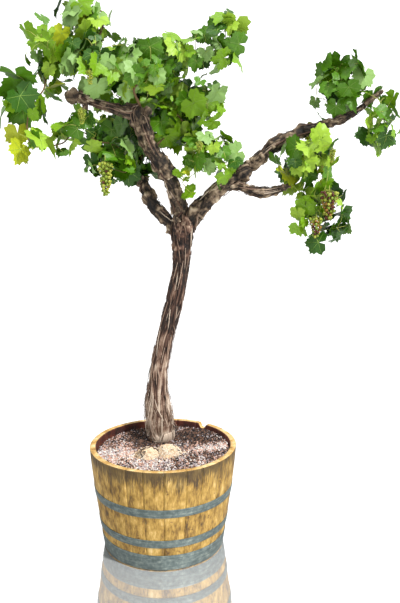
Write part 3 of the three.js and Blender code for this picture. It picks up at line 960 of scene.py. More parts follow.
# How each mass looks: leaves' size as a share of the usual, their spacing, and how the greens are dealt,
# from deep, mid, bright, lime, the pale green of painted sky reflection, to golden.
GREENS = ("deep", "mid", "bright", "lime", "glaucous", "golden")
LOOKS = {
    "leaves_far_left": (1.12, 0.092, (2, 6, 2, 0, 0, 0)),
    "leaves_low_left": (1.15, 0.084, (0, 1, 5, 2, 0, 2)),
    "leaves_upper_left": (0.94, 0.068, (1, 3, 5, 4, 2, 1)),
    "leaves_hanging_left": (1.00, 0.084, (5, 4, 1, 0, 0, 0)),
    "leaves_top": (1.02, 0.080, (1, 3, 5, 3, 3, 1)),
    "leaves_above_arm": (0.88, 0.052, (3, 4, 4, 5, 3, 1)),
    "leaves_under_arm": (0.88, 0.056, (3, 5, 4, 3, 1, 1)),
    "leaves_over_grapes": (0.90, 0.056, (4, 5, 2, 1, 1, 0)),
    "leaves_crown_middle": (0.92, 0.055, (3, 4, 3, 3, 4, 0)),
    "leaves_crown_front": (0.80, 0.050, (3, 4, 3, 5, 3, 1)),
    "leaves_crown_right": (1.00, 0.056, (3, 4, 3, 2, 4, 0)),
    "leaves_right_shoot": (0.85, 0.074, (3, 4, 3, 2, 1, 0)),
    "leaves_right_top": (0.90, 0.072, (3, 4, 4, 1, 1, 0)),
    "leaves_inner_right": (1.05, 0.058, (4, 6, 4, 1, 0, 0)),
    "leaves_right_side": (0.95, 0.068, (2, 4, 4, 2, 2, 0)),
    "leaves_right_low": (0.88, 0.055, (1, 3, 3, 4, 4, 1)),
    "leaves_before_fork": (0.72, 0.050, (0, 2, 4, 4, 0, 3)),
    "leaves_behind_boughs": (1.00, 0.056, (7, 3, 0, 0, 0, 0)),
    "leaves_back_of_crown": (1.05, 0.068, (5, 5, 3, 1, 1, 0)),
    "leaves_over_right_bough": (1.00, 0.070, (3, 5, 4, 1, 3, 0)),
    "leaves_right_tip": (0.92, 0.084, (2, 4, 4, 3, 0, 0)),
    "leaves_under_right_bough": (0.88, 0.060, (3, 4, 3, 3, 1, 1)),
    "leaves_right_hanging": (1.00, 0.064, (4, 5, 4, 2, 2, 0)),
}

# Leaves stand from just outside a mass's skin to this far within it.
LEAF_CLOSENESS = 0.76
LEAF_OUTERMOST = 0.008
LEAF_INNERMOST = 0.075

# Gaps in the foliage, through which the sky shows, and the room that leaves give bare wood before them.
GAP_WIDTH = 0.085
GAP_SHARE = -0.24
WOOD_SHOWS = 0.046

# How far, and in waves how long, the leaves stray out of and into their mass.
STRAY = 0.045
STRAY_LENGTH = 0.06

# Canes: their spacing and depth inside the masses, the radius of one that bears a single place, and the
# radius from which a cane is woody.
CANE_SPACING = 0.088
CANE_DEPTH = 0.038
CANE_RADIUS = 0.0012
WOODY_RADIUS = 0.0034
THINNEST_CANE = 0.0013
LEAF_STALK_RADIUS = 0.0013
TENDRILS = 34

# Bunches: the mass that each hangs in, its place as shares of the mass's box, length, width, berry size
# as a share of the usual, and the share of ripe berries.
BUNCHES = (
    ("leaves_over_grapes", (0.42, 0.06, 0.40), 0.135, 0.066, 0.95, 0.06),
    ("leaves_right_hanging", (0.60, 0.06, 0.80), 0.115, 0.075, 1.0, 0.50),
    ("leaves_right_hanging", (0.42, 0.10, 0.42), 0.080, 0.055, 0.9, 0.45),
    ("leaves_above_arm", (0.55, 0.02, 0.30), 0.050, 0.032, 0.5, 0.0),
    ("leaves_under_arm", (0.58, 0.02, 0.90), 0.055, 0.034, 0.5, 0.0),
    ("leaves_right_low", (0.30, 0.03, 0.70), 0.045, 0.030, 0.5, 0.0),
    ("leaves_under_right_bough", (0.80, 0.06, 0.62), 0.055, 0.030, 0.5, 0.0),
)

# Half of a vine leaf's outline: angle from its tip, and reach from its stalk as a share of the midrib.
OUTLINE = np.array(
    [
        [0, 1.00],
        [9, 0.85],
        [17, 0.91],
        [25, 0.74],
        [34, 0.71],
        [43, 0.87],
        [49, 0.81],
        [56, 0.95],
        [65, 0.79],
        [74, 0.85],
        [86, 0.68],
        [98, 0.77],
        [109, 0.86],
        [120, 0.71],
        [134, 0.74],
        [149, 0.58],
        [167, 0.47],
    ]
)
VEIN_ANGLES = np.radians([0, 55, -55, 109, -109])


def leaf_grid():
    """A flat leaf, stalk at nought and tip at y = 1: rings at shares of the outline, then a thin strip
    over each of its five veins. Returns points, triangles, quads, and how many quads are blade."""
    angle = np.radians(np.concatenate([OUTLINE[:, 0], [180], -OUTLINE[:0:-1, 0]]))
    reach = np.concatenate([OUTLINE[:, 1], [0.05], OUTLINE[:0:-1, 1]])
    ring = np.stack([np.sin(angle) * reach, np.cos(angle) * reach, 0 * angle], -1)
    count = len(angle)
    points = [np.zeros((1, 3)), ring * 0.55, ring]
    blade = grid_faces(2, count) + 1
    tips = fan_faces(1, count, 0, True)[:, [1, 0, 2]]
    veins = []
    first = 1 + 2 * count
    for vein in VEIN_ANGLES:
        at = int(np.argmin(np.abs(np.angle(np.exp(1j * (angle - vein))))))
        run = np.array([0.0, 0.55, 0.93])[:, None] * reach[at]
        way = np.array([[np.sin(vein), np.cos(vein)]])
        aside = np.array([[np.cos(vein), -np.sin(vein)]]) * np.array([[0.010], [0.007], [0.002]])
        flat = np.stack([run * way - aside, run * way + aside], 1).reshape(-1, 2)
        points.append(np.column_stack([flat, np.full(6, 0.009)]))
        veins.append(np.array([[0, 1, 3, 2], [2, 3, 5, 4]]) + first)
        first += 6
    return np.vstack(points), tips, np.vstack([blade, *veins]), len(blade)


def leaf_shapes(draw, count):
    """Each leaf's own bend: the blade's height is fold |x| less droop (y |y| + 0.7 x^2), plus lean x y
    and a wave round its edge that grows with the square of the reach."""
    points, tips, quads, blade = leaf_grid()
    x, y, z = points.T
    reach = np.hypot(x, y)
    angle = np.arctan2(x, y)
    fold, droop, wave, phase, lean = (
        draw.uniform(low, high, (count, 1))
        for low, high in ((0.0, 0.60), (0.10, 0.80), (0.03, 0.13), (0, TURN), (-0.25, 0.25))
    )
    height = fold * np.abs(x) - droop * (y * np.abs(y) + 0.7 * x * x) + lean * x * y
    height = height + wave * reach**2 * np.sin(5 * angle + phase) + z
    shape = np.stack(np.broadcast_arrays(x, y, height), -1)
    stretch = np.stack([draw.uniform(0.9, 1.12, count), np.ones(count), np.ones(count)], -1)
    return shape * stretch[:, None], tips, quads, blade


def depth_in(tree, place):
    """How deep a place lies inside a closed solid, and the way out: the nearest surface point's distance,
    negative where the place is in front of that surface."""
    found, normal, _, distance = tree.find_nearest(Vector(place))
    inward = (found - Vector(place)).dot(normal)
    return (distance if inward > 0 else -distance), np.array(normal)


def everywhere(places):
    """Keeps every place."""
    return np.full(len(places), True)


def open_foliage(places):
    """Keeps the places where the noise that opens gaps is high, and that don't hide a limb from the
    front."""
    open_sky = noise(places / GAP_WIDTH, 11) < GAP_SHARE
    wood = np.vstack([spine[:, :3] for spine in SPINES.values()])
    aside = np.linalg.norm(places[:, None, ::2] - wood[None, :, ::2], axis=-1)
    before = places[:, None, 1] < wood[None, :, 1]
    return ~open_sky & ~((aside < WOOD_SHOWS) & before).any(1)


def places_in(name, spacing, shallow, deep, taken, kept=everywhere, tries=2600):
    """Places between two depths inside a mass, each at least the spacing from those taken before."""
    draw = seeded(name + str(deep))
    middle, half = middle_of(name)
    triangles = solid_of(name)
    index = np.arange(len(triangles) * 3).reshape(-1, 3).tolist()
    tree = BVHTree.FromPolygons(triangles.reshape(-1, 3).tolist(), index)
    found, ways = [], []
    tried = middle + draw.uniform(-1, 1, (tries, 3)) * half
    for place in tried[kept(tried)]:
        depth, way = depth_in(tree, place)
        if shallow < depth < deep:
            near = np.array(taken + found)
            if not len(near) or (np.linalg.norm(near - place, axis=1) > spacing).all():
                found.append(place)
                ways.append(way)
    if not found:
        found, ways = [middle], [unit(middle - [0, 0, 1.8])]
    return np.array(found), np.array(ways)


def grow_canes(goals):
    """Canes from the limbs to the goals. Each time, the free goal nearest to anything already grown is
    joined to it. Returns places, each one's parent, and how many of them are on limbs."""
    stock = [SPINES[name][2:, :3] for name in LIMBS if name != "trunk"]
    places = list(np.vstack(stock + [SPINES["trunk"][-3:, :3]]))
    parents = [-1] * len(places)
    rooted = len(places)
    free = list(range(len(goals)))
    gaps = np.linalg.norm(goals[:, None] - np.array(places)[None], axis=-1)
    nearest, gap = gaps.argmin(1), gaps.min(1) * 1.15
    while free:
        pick = min(free, key=lambda goal: gap[goal])
        free.remove(pick)
        parents.append(int(nearest[pick]))
        places.append(goals[pick])
        fresh = np.linalg.norm(goals - goals[pick], axis=1)
        closer = fresh < gap
        nearest[closer] = len(places) - 1
        gap = np.minimum(gap, fresh)
    return np.array(places), parents, rooted


def cane_runs(places, parents, rooted):
    """The grown places as runs, each from where it leaves an older one to its tip, and how much grows on
    each place. A run follows the child that bears most."""
    load = np.ones(len(places))
    children = {index: [] for index in range(len(places))}
    for index in range(len(places) - 1, rooted - 1, -1):
        load[parents[index]] += load[index]
        children[parents[index]].append(index)
    waiting = [(parent, child) for parent in range(rooted) for child in children[parent]]
    runs = []
    while waiting:
        parent, child = waiting.pop()
        run = [parent, child]
        while children[run[-1]]:
            following = sorted(children[run[-1]], key=lambda index: -load[index])
            waiting += [(run[-1], other) for other in following[1:]]
            run.append(following[0])
        runs.append(run)
    return runs, load


def keep_in(points):
    """Moves each leaf back inside the frame's box, if it stands out of it."""
    low, high = (np.array(corner) for corner in CAD_BOX)
    over = (points.max(1) - high - 0.006).clip(0) + (points.min(1) - low + 0.006).clip(None, 0)
    return points - over[:, None]


def petioles(heap, starts, ends, ways, radius, shade):
    """Leaf stalks: each follows the curve (1-t)^2 start + 2t(1-t) knee + t^2 end, where the knee lies
    above the middle, in rings of four points."""
    count = len(starts)
    t = np.linspace(0, 1, 6)[None, :, None]
    knees = (starts + ends) / 2 + ways * 0.02 + [0, 0, 0.012]
    path = (1 - t) ** 2 * starts[:, None] + 2 * t * (1 - t) * knees[:, None] + t**2 * ends[:, None]
    ahead = unit(np.gradient(path, axis=1))
    across = unit(np.cross(ahead, [0.3, 0.2, 1.0]))
    up = np.cross(across, ahead)
    ring = np.stack([across, up, -across, -up], 2)
    thick = radius * (1 - 0.35 * t)[..., None]
    skin = path[:, :, None] + ring * thick
    quads = grid_faces(6, 4)[:, ::-1]
    ends_too = np.array([[0, 1, 2, 3], [23, 22, 21, 20]])
    heap.add(skin.reshape(-1, 3), [repeated(np.vstack([quads, ends_too]), count, 24)], shade)


def leaves(name, places, ways, canes, size, materials, petiole_heap):
    """One mass of leaves. Each blade faces out and up and hangs tip down, on a stalk from the nearest
    cane. Sprays of leaves near each other share a green."""
    draw = seeded(name + "blades")
    scale_share, _, dealt = LOOKS[name]
    count = len(places)
    middle, _ = middle_of(name)
    outward = unit(0.55 * ways + 0.6 * unit(places - middle))
    facing = unit(0.7 * outward + [0.06, -0.22, 0.42] + 0.52 * draw.normal(size=(count, 3)))
    hang = DOWN * 0.75 + 0.45 * outward + 0.45 * draw.normal(size=(count, 3))
    tip = unit(hang - facing * (hang * facing).sum(1, keepdims=True))
    across = np.cross(tip, facing)
    scale = size * scale_share * draw.uniform(0.44, 1.14, count)
    shape, tips, quads, blade = leaf_shapes(draw, count)
    turn = np.stack([across, tip, facing], 1)
    points = np.einsum("nki,nij->nkj", shape * scale[:, None, None], turn)
    points = points + (places - tip * scale[:, None] * 0.36)[:, None]
    points = keep_in(points)
    per_leaf = shape.shape[1]
    spray = np.argmin(np.linalg.norm(places[:, None] - canes[None], axis=-1), axis=1)
    chance = np.array(dealt) / sum(dealt)
    main = {index: draw.choice(len(GREENS), p=chance) for index in np.unique(spray)}
    own = draw.choice(len(GREENS), size=count, p=chance)
    green = np.where(draw.random(count) < 0.55, [main[index] for index in spray], own)
    faces = [repeated(tips, count, per_leaf), repeated(quads, count, per_leaf)]
    vein = np.tile(np.arange(len(quads)) >= blade, count)
    quad_green = np.where(vein, len(GREENS), np.repeat(green, len(quads)))
    heap = Heap()
    heap.add(points, faces, [np.repeat(green, len(tips)), quad_green])
    piece = heap.piece(name + "_spray", materials)
    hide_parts(name)
    petioles(petiole_heap, canes[spray], points[:, 0], outward, LEAF_STALK_RADIUS, 0)


def berry_grid():
    """A berry: a sphere of 5 rings by 9, closed at both poles."""
    rise = np.linspace(-np.pi / 2, np.pi / 2, 7)[1:-1]
    angle = np.arange(9) / 9 * TURN
    ring = np.stack([np.cos(angle), np.sin(angle), 0 * angle], -1)
    points = ring[None] * np.cos(rise)[:, None, None] + np.array([0, 0, 1]) * np.sin(rise)[:, None, None]
    points = np.vstack([points.reshape(-1, 3), [0, 0, 1], [0, 0, -1]])
    return points, grid_faces(5, 9), np.vstack([fan_faces(36, 9, 45), fan_faces(0, 9, 46, False)])


def bunch(heap, stalks, top, length, width, berry, ripe, name):
    """A bunch: berries packed round a hanging stalk, in a cone whose radius falls from width / 2 to
    nothing, each at least one berry from the rest."""
    draw = seeded(name)
    found = []
    for _ in range(1600):
        down = draw.random() ** 0.8
        reach = width / 2 * np.sqrt(draw.random()) * (1 - 0.75 * down) ** 0.7
        bearing = draw.uniform(0, TURN)
        place = np.array([np.cos(bearing) * reach, np.sin(bearing) * reach, -down * length])
        if not found or (np.linalg.norm(np.array(found) - place, axis=1) > berry * 1.75).all():
            found.append(place)
    places = np.array(found) + top
    points, quads, tips = berry_grid()
    count = len(places)
    size = berry * draw.uniform(0.78, 1.08, (count, 1, 1))
    shade = np.where(draw.random(count) < ripe, draw.integers(2, 4, count), draw.integers(0, 2, count))
    faces = [repeated(quads, count, len(points)), repeated(tips, count, len(points))]
    shades = [np.repeat(shade, len(quads)), np.repeat(shade, len(tips))]
    heap.add(points[None] * size + places[:, None], faces, shades)
    axis = top + np.linspace(0.25, -0.95, 8)[:, None] * np.array([0, 0, length])
    tube(stalks, axis, 0.0018, 5, 1)
    middle = np.column_stack([np.tile(top[:2], (count, 1)), places[:, 2] + berry])
    petioles(stalks, middle, places, np.zeros((count, 3)), 0.0007, 1)


def tendril(heap, start, way, draw):
    """A tendril: a helix whose turns tighten towards its end, along a line that bends down."""
    t = np.linspace(0, 1, 40)
    length = draw.uniform(0.05, 0.11)
    side = unit(np.cross(way, [0.2, 0.1, 1.0]))
    up = np.cross(side, way)
    angle = t**1.6 * draw.uniform(9, 17)
    coil = 0.007 * t**1.2
    path = start + way * (length * t)[:, None] + DOWN * (0.03 * t**2)[:, None]
    path = path + side * (coil * np.cos(angle))[:, None] + up * (coil * np.sin(angle))[:, None]
    tube(heap, path, 0.0009 * (1.1 - 0.6 * t), 4, 0)


# Settings shown in the panel


class CaskSettings(bpy.types.PropertyGroup):
    """Sizes of the cask's boards and hoops."""

    gap: length_property("Gap between staves", "Joint left between one board and the next", 0.0002)
    chamfer: length_property("Worn corner", "How far each board's outer corners are worn back", 0.0003)
    hoop_thickness: length_property("Hoop thickness", "Thickness of the hoop iron", 0.0022)


class SoilSettings(bpy.types.PropertyGroup):
    """The soil and the stone chips on it."""

    chip_size: length_property("Chip size", "Half the length of the largest stone chips", 0.0046)
    chip_count: count_property("Chips", "Stone chips on the soil", 13000)
    # Some of these crumbs are dark: they stand for the shaded cracks in the lumps, as painted shade.
    crumb_count: count_property("Crumbs", "Crumbs of straw and soil on the lumps", 2400)


class WoodSettings(bpy.types.PropertyGroup):
    """Relief of the bark."""

    spacing: length_property("Ring spacing", "Distance between the rings of a limb's surface", 0.0032)
    depth: length_property("Bark depth", "Height of the strings over the cracks", 0.0042)


class LeafSettings(bpy.types.PropertyGroup):
    """Size and greens of the leaves."""

    size: length_property("Leaf length", "From stalk to tip of a full-grown leaf", 0.072)
    deep: colour_property("Deep green", "Leaves in the shade of others", "#2c5606")
    mid: colour_property("Mid green", "Full-grown leaves", "#4b7a0a")
    bright: colour_property("Bright green", "Leaves in the sun", "#719c0e")
    lime: colour_property("Lime", "Young leaves", "#95b834")
    # A pale green that stands for the sky mirrored on the leaves: painted reflection.
    glaucous: colour_property("Glaucous", "Leaves that show their waxy bloom", "#84a85c")
    golden: colour_property("Golden", "Old leaves and the light that comes through them", "#a9b424")


class FruitSettings(bpy.types.PropertyGroup):
    """The grapes."""

    berry: length_property("Berry radius", "Radius of a full-grown berry", 0.0072)


# Operators


class GRAPEVINE_OT_stage(bpy.types.Operator):
    """Make the pale floor, the light and the camera"""

    bl_idname = "grapevine.stage"
    bl_label = "Stage"

    def execute(self, context):
        corners = ((-1, -1), (1, -1), (1, 1), (-1, 1))
        points = np.array([[x * FLOOR_HALF, y * FLOOR_HALF, FLOOR_HEIGHT] for x, y in corners])
        mesh = bpy.data.meshes.new("floor")
        mesh.from_pydata(points.tolist(), [], [(0, 1, 2, 3)])
        floor = bpy.data.objects.new("floor", mesh)
        context.collection.objects.link(floor)
        material, tree, output = new_material("polished_white_floor")
        shader = add(
            tree,
            "ShaderNodeBsdfPrincipled",
            {"Base Color": linear("#fcfcfc"), "Metallic": 0.74, "Roughness": 0.04},
        )
        tree.links.new(shader.outputs[0], output.inputs["Surface"])
        mesh.materials.append(material)
        make_world(context.scene)
        for name, energy, angle, way in (
            ("key", 4.0, 4, (0.52, -0.56, 1.05)),
            ("fill", 0.5, 60, (-0.9, -1.0, 0.5)),
        ):
            lamp = bpy.data.lights.new(name, "SUN")
            lamp.energy = energy
            lamp.angle = np.radians(angle)
            light = bpy.data.objects.new(name, lamp)
            light.rotation_euler = Vector(way).to_track_quat("Z", "Y").to_euler()
            context.collection.objects.link(light)
        data = bpy.data.cameras.new("camera")
        data.sensor_width = CAMERA_SENSOR
        data.lens = CAMERA_LENS
        camera = bpy.data.objects.new("camera", data)
        camera.location = CAMERA_PLACE
        camera.rotation_euler = np.radians(CAMERA_TURN)
        context.collection.objects.link(camera)
        context.scene.camera = camera
        context.scene.view_settings.view_transform = "Standard"
        return {"FINISHED"}


def make_world(scene):
    """A white room: full white where it is seen or mirrored, and as light a soft sky over a dim ground."""
    world = bpy.data.worlds.new("white_room")
    scene.world = world
    world.use_nodes = True
    tree = world.node_tree
    tree.nodes.clear()
    way = add(tree, "ShaderNodeTexCoord")
    height = add(tree, "ShaderNodeSeparateXYZ", links={0: way.outputs["Generated"]})
    sky = add(
        tree,
        "ShaderNodeMapRange",
        {"From Min": -0.3, "From Max": 0.6, "To Min": 0.08, "To Max": 0.55},
        {"Value": height.outputs["Z"]},
    )
    path = add(tree, "ShaderNodeLightPath")
    first = add(tree, "ShaderNodeMath", {1: 2.5}, {0: path.outputs["Ray Depth"]}, operation="LESS_THAN")
    mirrored = add(
        tree,
        "ShaderNodeMath",
        links={0: first.outputs[0], 1: path.outputs["Is Glossy Ray"]},
        operation="MULTIPLY",
    )
    seen = add(
        tree,
        "ShaderNodeMath",
        links={0: path.outputs["Is Camera Ray"], 1: mirrored.outputs[0]},
        operation="MAXIMUM",
    )
    strength = add(
        tree,
        "ShaderNodeMix",
        {3: 1.55},
        {0: seen.outputs[0], 2: sky.outputs[0]},
    )
    back = add(
        tree,
        "ShaderNodeBackground",
        {"Color": (1, 1, 1, 1)},
        {"Strength": strength.outputs[0]},
    )
    output = add(tree, "ShaderNodeOutputWorld")
    tree.links.new(back.outputs[0], output.inputs["Surface"])


class GRAPEVINE_OT_cask(bpy.types.Operator):
    """Make the cask's staves, hoops and bottom"""

    bl_idname = "grapevine.cask"
    bl_label = "Cask"

    def execute(self, context):
        settings = context.scene.grapevine_cask
        outside = oak_boards()
        rim = sawn_oak(
            "oak_sawn_edge", ((0.45, "#7f5a28"), (0.62, "#bd9148"), (0.80, "#dcb878"), (0.95, "#efd6a2"))
        )
        inside = sawn_oak(
            "oak_wine_stained", ((0.50, "#1d0906"), (0.68, "#451a11"), (0.85, "#64301f"), (1.0, "#7d4a3a"))
        )
        for name in STAVES:
            stave(name, settings.gap, settings.chamfer, [outside, rim, inside])
        iron = hoop_iron()
        for name, seam in zip(HOOPS, np.radians((262, 40, 150))):
            hoop(name, settings.hoop_thickness, iron, seam)
        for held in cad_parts["cask_bottom"].material_slots:
            held.link = "OBJECT"
            held.material = outside
        return {"FINISHED"}


class GRAPEVINE_OT_soil(bpy.types.Operator):
    """Make the soil, its stone chips and the lumps of straw"""

    bl_idname = "grapevine.soil"
    bl_label = "Soil"

    def execute(self, context):
        settings = context.scene.grapevine_soil
        soil_surface("soil_bed", grit("potting_soil", "#4f3d31"))
        draw = seeded("chips")
        count = settings.chip_count
        reach = cask_radius(SOIL_TOP) - STAVE_THICKNESS - 0.006
        radius = reach * np.sqrt(draw.random(count))
        bearing = draw.uniform(0, TURN, count)
        flat = np.stack([radius * np.cos(bearing), radius * np.sin(bearing)], -1)
        height = soil_height(flat) + draw.uniform(-0.003, 0.003, count)
        places = np.column_stack([flat, height])
        # Painted shade: round the trunk's foot and in a patch at the back right, more chips are black and
        # brown and fewer are white, pink and grey.
        foot = SPINES["trunk"][1, :2]
        shade = 1.5 * ease(0.22, 0.10, np.linalg.norm(flat - foot, axis=1))
        shade = shade + ease(0.17, 0.08, np.linalg.norm(flat - [0.215, 0.15], axis=1)) * 1.3
        patch = noise(np.column_stack([flat / 0.06, np.zeros(count)]), 3)
        gloom = noise(np.column_stack([flat / 0.09, np.ones(count)]), 4)
        kinds = (
            ("chips_white", "#e9e2da", 0.75 - 0.8 * shade + 0.6 * patch - 0.9 * gloom),
            ("chips_pink", "#cfa795", 0.75 - 0.6 * shade - 0.4 * patch - 0.3 * gloom),
            ("chips_grey", "#b3a7a8", 0.70 - 0.4 * shade + 0.2 * patch),
            ("chips_brown", "#6f5140", 0.7 + 0.5 * shade + 1.0 * gloom),
            ("chips_black", "#241c1a", 0.50 + 0.9 * shade + 1.0 * gloom),
        )
        chance = np.clip(np.stack([weight * np.ones(count) for _, _, weight in kinds], -1), 0.02, None)
        limit = np.cumsum(chance / chance.sum(1, keepdims=True), axis=1)
        kind = (draw.random((count, 1)) > limit).sum(1)
        for index, (name, code, _) in enumerate(kinds):
            chips(name, places[kind == index], settings.chip_size, grit(name + "_stone", code))
        heap = Heap()
        for lump, name in zip(STRAW_LUMPS, ("lump_left", "lump_right")):
            straw_lump(heap, *lump, name)
        tan, pale = grit("dry_straw", "#d9bc98"), grit("bleached_straw", "#f8ecd8")
        piece = heap.piece("straw_lumps", [tan, pale])
        crumbs = settings.crumb_count
        middles = np.array(STRAW_LUMPS)[draw.integers(0, 2, crumbs), :2]
        flat = middles + draw.normal(size=(crumbs, 2)) * CRUMB_SCATTER
        inside = np.clip(1 - (np.linalg.norm(flat - middles, axis=1) / CRUMB_REACH) ** 2, 0, 1)
        height = soil_height(flat) + CRUMB_RISE * np.sqrt(inside) * draw.uniform(0.7, 1.1, crumbs)
        places = np.column_stack([flat, height])
        # The dark crumbs stand for the shaded cracks between the straws: painted shade.
        dark = noise(places / 0.018, 9) < -0.18
        chips("crumbs_pale", places[~dark], settings.chip_size, grit("straw_crumbs", "#ead2b4"))
        chips("crumbs_dark", places[dark], settings.chip_size, grit("damp_crumbs", "#3a2a20"))
        return {"FINISHED"}


class GRAPEVINE_OT_wood(bpy.types.Operator):
    """Make the bark of the trunk and boughs, with its stubs and loose strips"""

    bl_idname = "grapevine.wood"
    bl_label = "Trunk and boughs"

    def execute(self, context):
        settings = context.scene.grapevine_wood
        trunk_bark = bark_skin("stringy_vine_bark", BARK_STOPS)
        bough_bark = bark_skin("knobbly_vine_bark", BOUGH_STOPS)
        stringy = {
            "strings": 24,
            "string_length": 0.11,
            "depth": settings.depth * 1.25,
            "wander": 0.16,
            "twist": 0.35,
            "knob": 0.0045,
            "knob_length": 0.11,
            "pale": lambda s: 0.34 * ease(0.34, 0.12, s) + 0.20 * ease(0.74, 0.34, s) - 0.05,
            "blotch": 0.06,
            "warty": lambda s: 0.9 * ease(0.90, 1.0, s),
        }
        knobbly = {
            "strings": 21,
            "string_length": 0.028,
            "depth": settings.depth * 1.35,
            "wander": 0.35,
            "twist": 0.8,
            "knob": 0.0105,
            "knob_length": 0.046,
            "pale": np.zeros_like,
            "blotch": 0.06,
            "warty": lambda s: 0.62 + 0 * s,
        }
        clad("trunk", SPINES["trunk"], settings.spacing, TRUNK_SIDES, stringy, trunk_bark)
        for name in LIMBS:
            if name != "trunk":
                clad(name, SPINES[name], settings.spacing, BOUGH_SIDES, knobbly, bough_bark)
        heap = Heap()
        for row in STUBS:
            stub(heap, *row)
        piece = heap.piece("pruned_stubs", [bough_bark])
        heap = Heap()
        draw = seeded("strips")
        loose_strips(heap, "trunk", TRUNK_STRIPS, 0.003, draw)
        loose_strips(heap, "trunk", FOOT_STRIPS, 0.009, draw, 0.02, 0.22, 0.92)
        for name in LIMBS:
            if name != "trunk":
                loose_strips(heap, name, BOUGH_STRIPS, 0.003, draw)
        self.threads(heap, draw)
        piece = heap.piece("loose_bark", [trunk_bark])
        return {"FINISHED"}

    def threads(self, heap, draw):
        """Long threads of bark that hang from the trunk: each leaves it, falls and curls up at its end."""
        path = smooth_path(SPINES["trunk"], 0.01)
        for share, bearing, length in (
            (0.10, 0.1, 0.08),
            (0.13, -0.4, 0.07),
            (0.30, 0.2, 0.11),
            (0.24, 3.3, 0.10),
            (0.20, 0.4, 0.05),
            (0.46, 3.0, 0.03),
            (0.52, -0.2, 0.03),
            (0.66, 0.1, 0.04),
        ):
            row = path[int(share * (len(path) - 1))]
            out = np.array([np.cos(bearing), np.sin(bearing), 0])
            t = np.linspace(0, 1, 16)
            run = row[:3] + out * (row[3] + length * 0.55 * t)[:, None]
            run = run + DOWN * (length * np.sin(t * np.pi * 0.75))[:, None]
            run = run + 0.004 * np.sin(t * 7 + draw.random() * 6)[:, None]
            tube(heap, run, 0.0011 * (1.1 - 0.7 * t), 4, 0, 0.35)


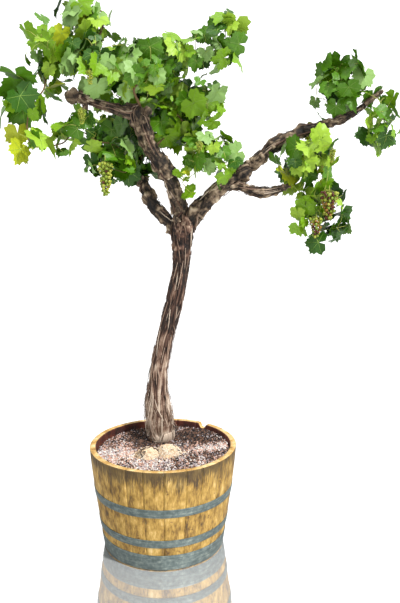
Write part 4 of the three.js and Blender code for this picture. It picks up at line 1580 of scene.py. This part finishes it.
class GRAPEVINE_OT_foliage(bpy.types.Operator):
    """Grow the canes, leaves, tendrils and grapes"""

    bl_idname = "grapevine.foliage"
    bl_label = "Foliage"

    def execute(self, context):
        settings = context.scene.grapevine_leaf
        taken, beds, goals = [], {}, []
        for name in MASSES:
            _, spacing, _ = LOOKS[name]
            places, ways = places_in(
                name, spacing * LEAF_CLOSENESS, LEAF_OUTERMOST, LEAF_INNERMOST, taken, open_foliage
            )
            beds[name] = (places, ways)
            taken = taken + list(places)
            inner, _ = places_in(name, CANE_SPACING, CANE_DEPTH, 1.0, goals, tries=500)
            goals = goals + list(inner)
        draw = seeded("canes")
        places, parents, rooted = grow_canes(np.array(goals))
        runs, load = cane_runs(places, parents, rooted)
        woody, green = Heap(), Heap()
        nodes = []
        for run in runs:
            stations = places[run] + 0.008 * draw.normal(size=(len(run), 3))
            stations[0] = places[run[0]]
            radius = CANE_RADIUS * load[run[1:]] ** 0.42
            radii = np.concatenate([[radius[0] * 1.2], radius])
            path = smooth_path(np.column_stack([stations, radii]), 0.012)
            joints = 1 + 0.22 * np.exp(-(((np.arange(len(path)) % 6) - 3) ** 2) / 0.5)
            thick = path[:, 3].clip(THINNEST_CANE) * joints
            heap = woody if radius[0] > WOODY_RADIUS else green
            tube(heap, path[:, :3], thick, 7, 0, 0.5)
            nodes.append(path[3:, :3])
        canes = np.vstack(nodes)
        wood = bark_skin("cane_bark", ((0.1, "#3a2a1a"), (0.5, "#6e5636"), (0.9, "#9c8458")))
        shoot = leaf_blade("green_shoot", linear("#7d9632"), 0.5)
        stalk = leaf_blade("leaf_stalk", linear("#b3b95a"), 0.5)
        rachis = leaf_blade("bunch_stalk", linear("#9ea64a"), 0.5)
        for heap, name, material in ((woody, "woody_canes", wood), (green, "green_shoots", shoot)):
            piece = heap.piece(name, [material])
        tints = [leaf_blade("vine_leaf_" + green, getattr(settings, green)) for green in GREENS]
        tints.append(leaf_blade("leaf_vein", linear("#86a64a"), 0.5))
        stalks = Heap()
        for name in MASSES:
            places, ways = beds[name]
            strayed = places + STRAY * ways * noise(places / STRAY_LENGTH, 12)[:, None]
            leaves(name, strayed, ways, canes, settings.size, tints, stalks)
        self.fruit(context, stalks)
        tendrils = Heap()
        for index in draw.choice(len(canes), TENDRILS, replace=False):
            way = unit(draw.normal(size=3) + [0, -0.6, -0.2])
            tendril(tendrils, canes[index], way, draw)
        for heap, name in ((stalks, "leaf_stalks"), (tendrils, "tendrils")):
            piece = heap.piece(name, [stalk, rachis])
        return {"FINISHED"}

    def fruit(self, context, stalks):
        """Three full bunches and four small ones, each hung from a place in a mass's box."""
        berry = context.scene.grapevine_fruit.berry
        grapes = Heap()
        for index, (mass, share, length, width, size, ripe) in enumerate(BUNCHES):
            middle, half = middle_of(mass)
            top = middle + half * (2 * np.array(share) - 1)
            bunch(grapes, stalks, top, length, width, berry * size, ripe, f"bunch_{index}")
        tints = [
            leaf_blade("berry_green", linear("#7f9430"), 0.3),
            leaf_blade("berry_yellow", linear("#a0a83c"), 0.3),
            leaf_blade("berry_red", linear("#54281a"), 0.3),
            leaf_blade("berry_amber", linear("#8f6a2a"), 0.3),
        ]
        piece = grapes.piece("grapes", tints)


class GRAPEVINE_PT_panel(bpy.types.Panel):
    """Lists the grapevine's pieces and their sizes"""

    bl_label = "Grapevine"
    bl_space_type = "VIEW_3D"
    bl_region_type = "UI"
    bl_category = "Grapevine"

    def draw(self, context):
        for operator in OPERATORS:
            self.layout.operator(operator.bl_idname)
        for attribute, group in SETTINGS.items():
            box = self.layout.box()
            for label in group.__annotations__:
                box.prop(getattr(context.scene, attribute), label)


SETTINGS = {
    "grapevine_cask": CaskSettings,
    "grapevine_soil": SoilSettings,
    "grapevine_wood": WoodSettings,
    "grapevine_leaf": LeafSettings,
    "grapevine_fruit": FruitSettings,
}
OPERATORS = (
    GRAPEVINE_OT_stage,
    GRAPEVINE_OT_cask,
    GRAPEVINE_OT_soil,
    GRAPEVINE_OT_wood,
    GRAPEVINE_OT_foliage,
)
CLASSES = (*SETTINGS.values(), *OPERATORS, GRAPEVINE_PT_panel)


def register():
    """Registers the classes, and the settings on the scene."""
    for item in CLASSES:
        bpy.utils.register_class(item)
    for attribute, group in SETTINGS.items():
        setattr(bpy.types.Scene, attribute, bpy.props.PointerProperty(type=group))


def unregister():
    """Takes them away again."""
    for attribute in SETTINGS:
        delattr(bpy.types.Scene, attribute)
    for item in reversed(CLASSES):
        bpy.utils.unregister_class(item)


def main():
    """Builds every piece."""
    register()
    bpy.ops.grapevine.stage()
    bpy.ops.grapevine.cask()
    bpy.ops.grapevine.soil()
    bpy.ops.grapevine.wood()
    bpy.ops.grapevine.foliage()
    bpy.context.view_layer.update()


if __name__ == "__main__":
    main()
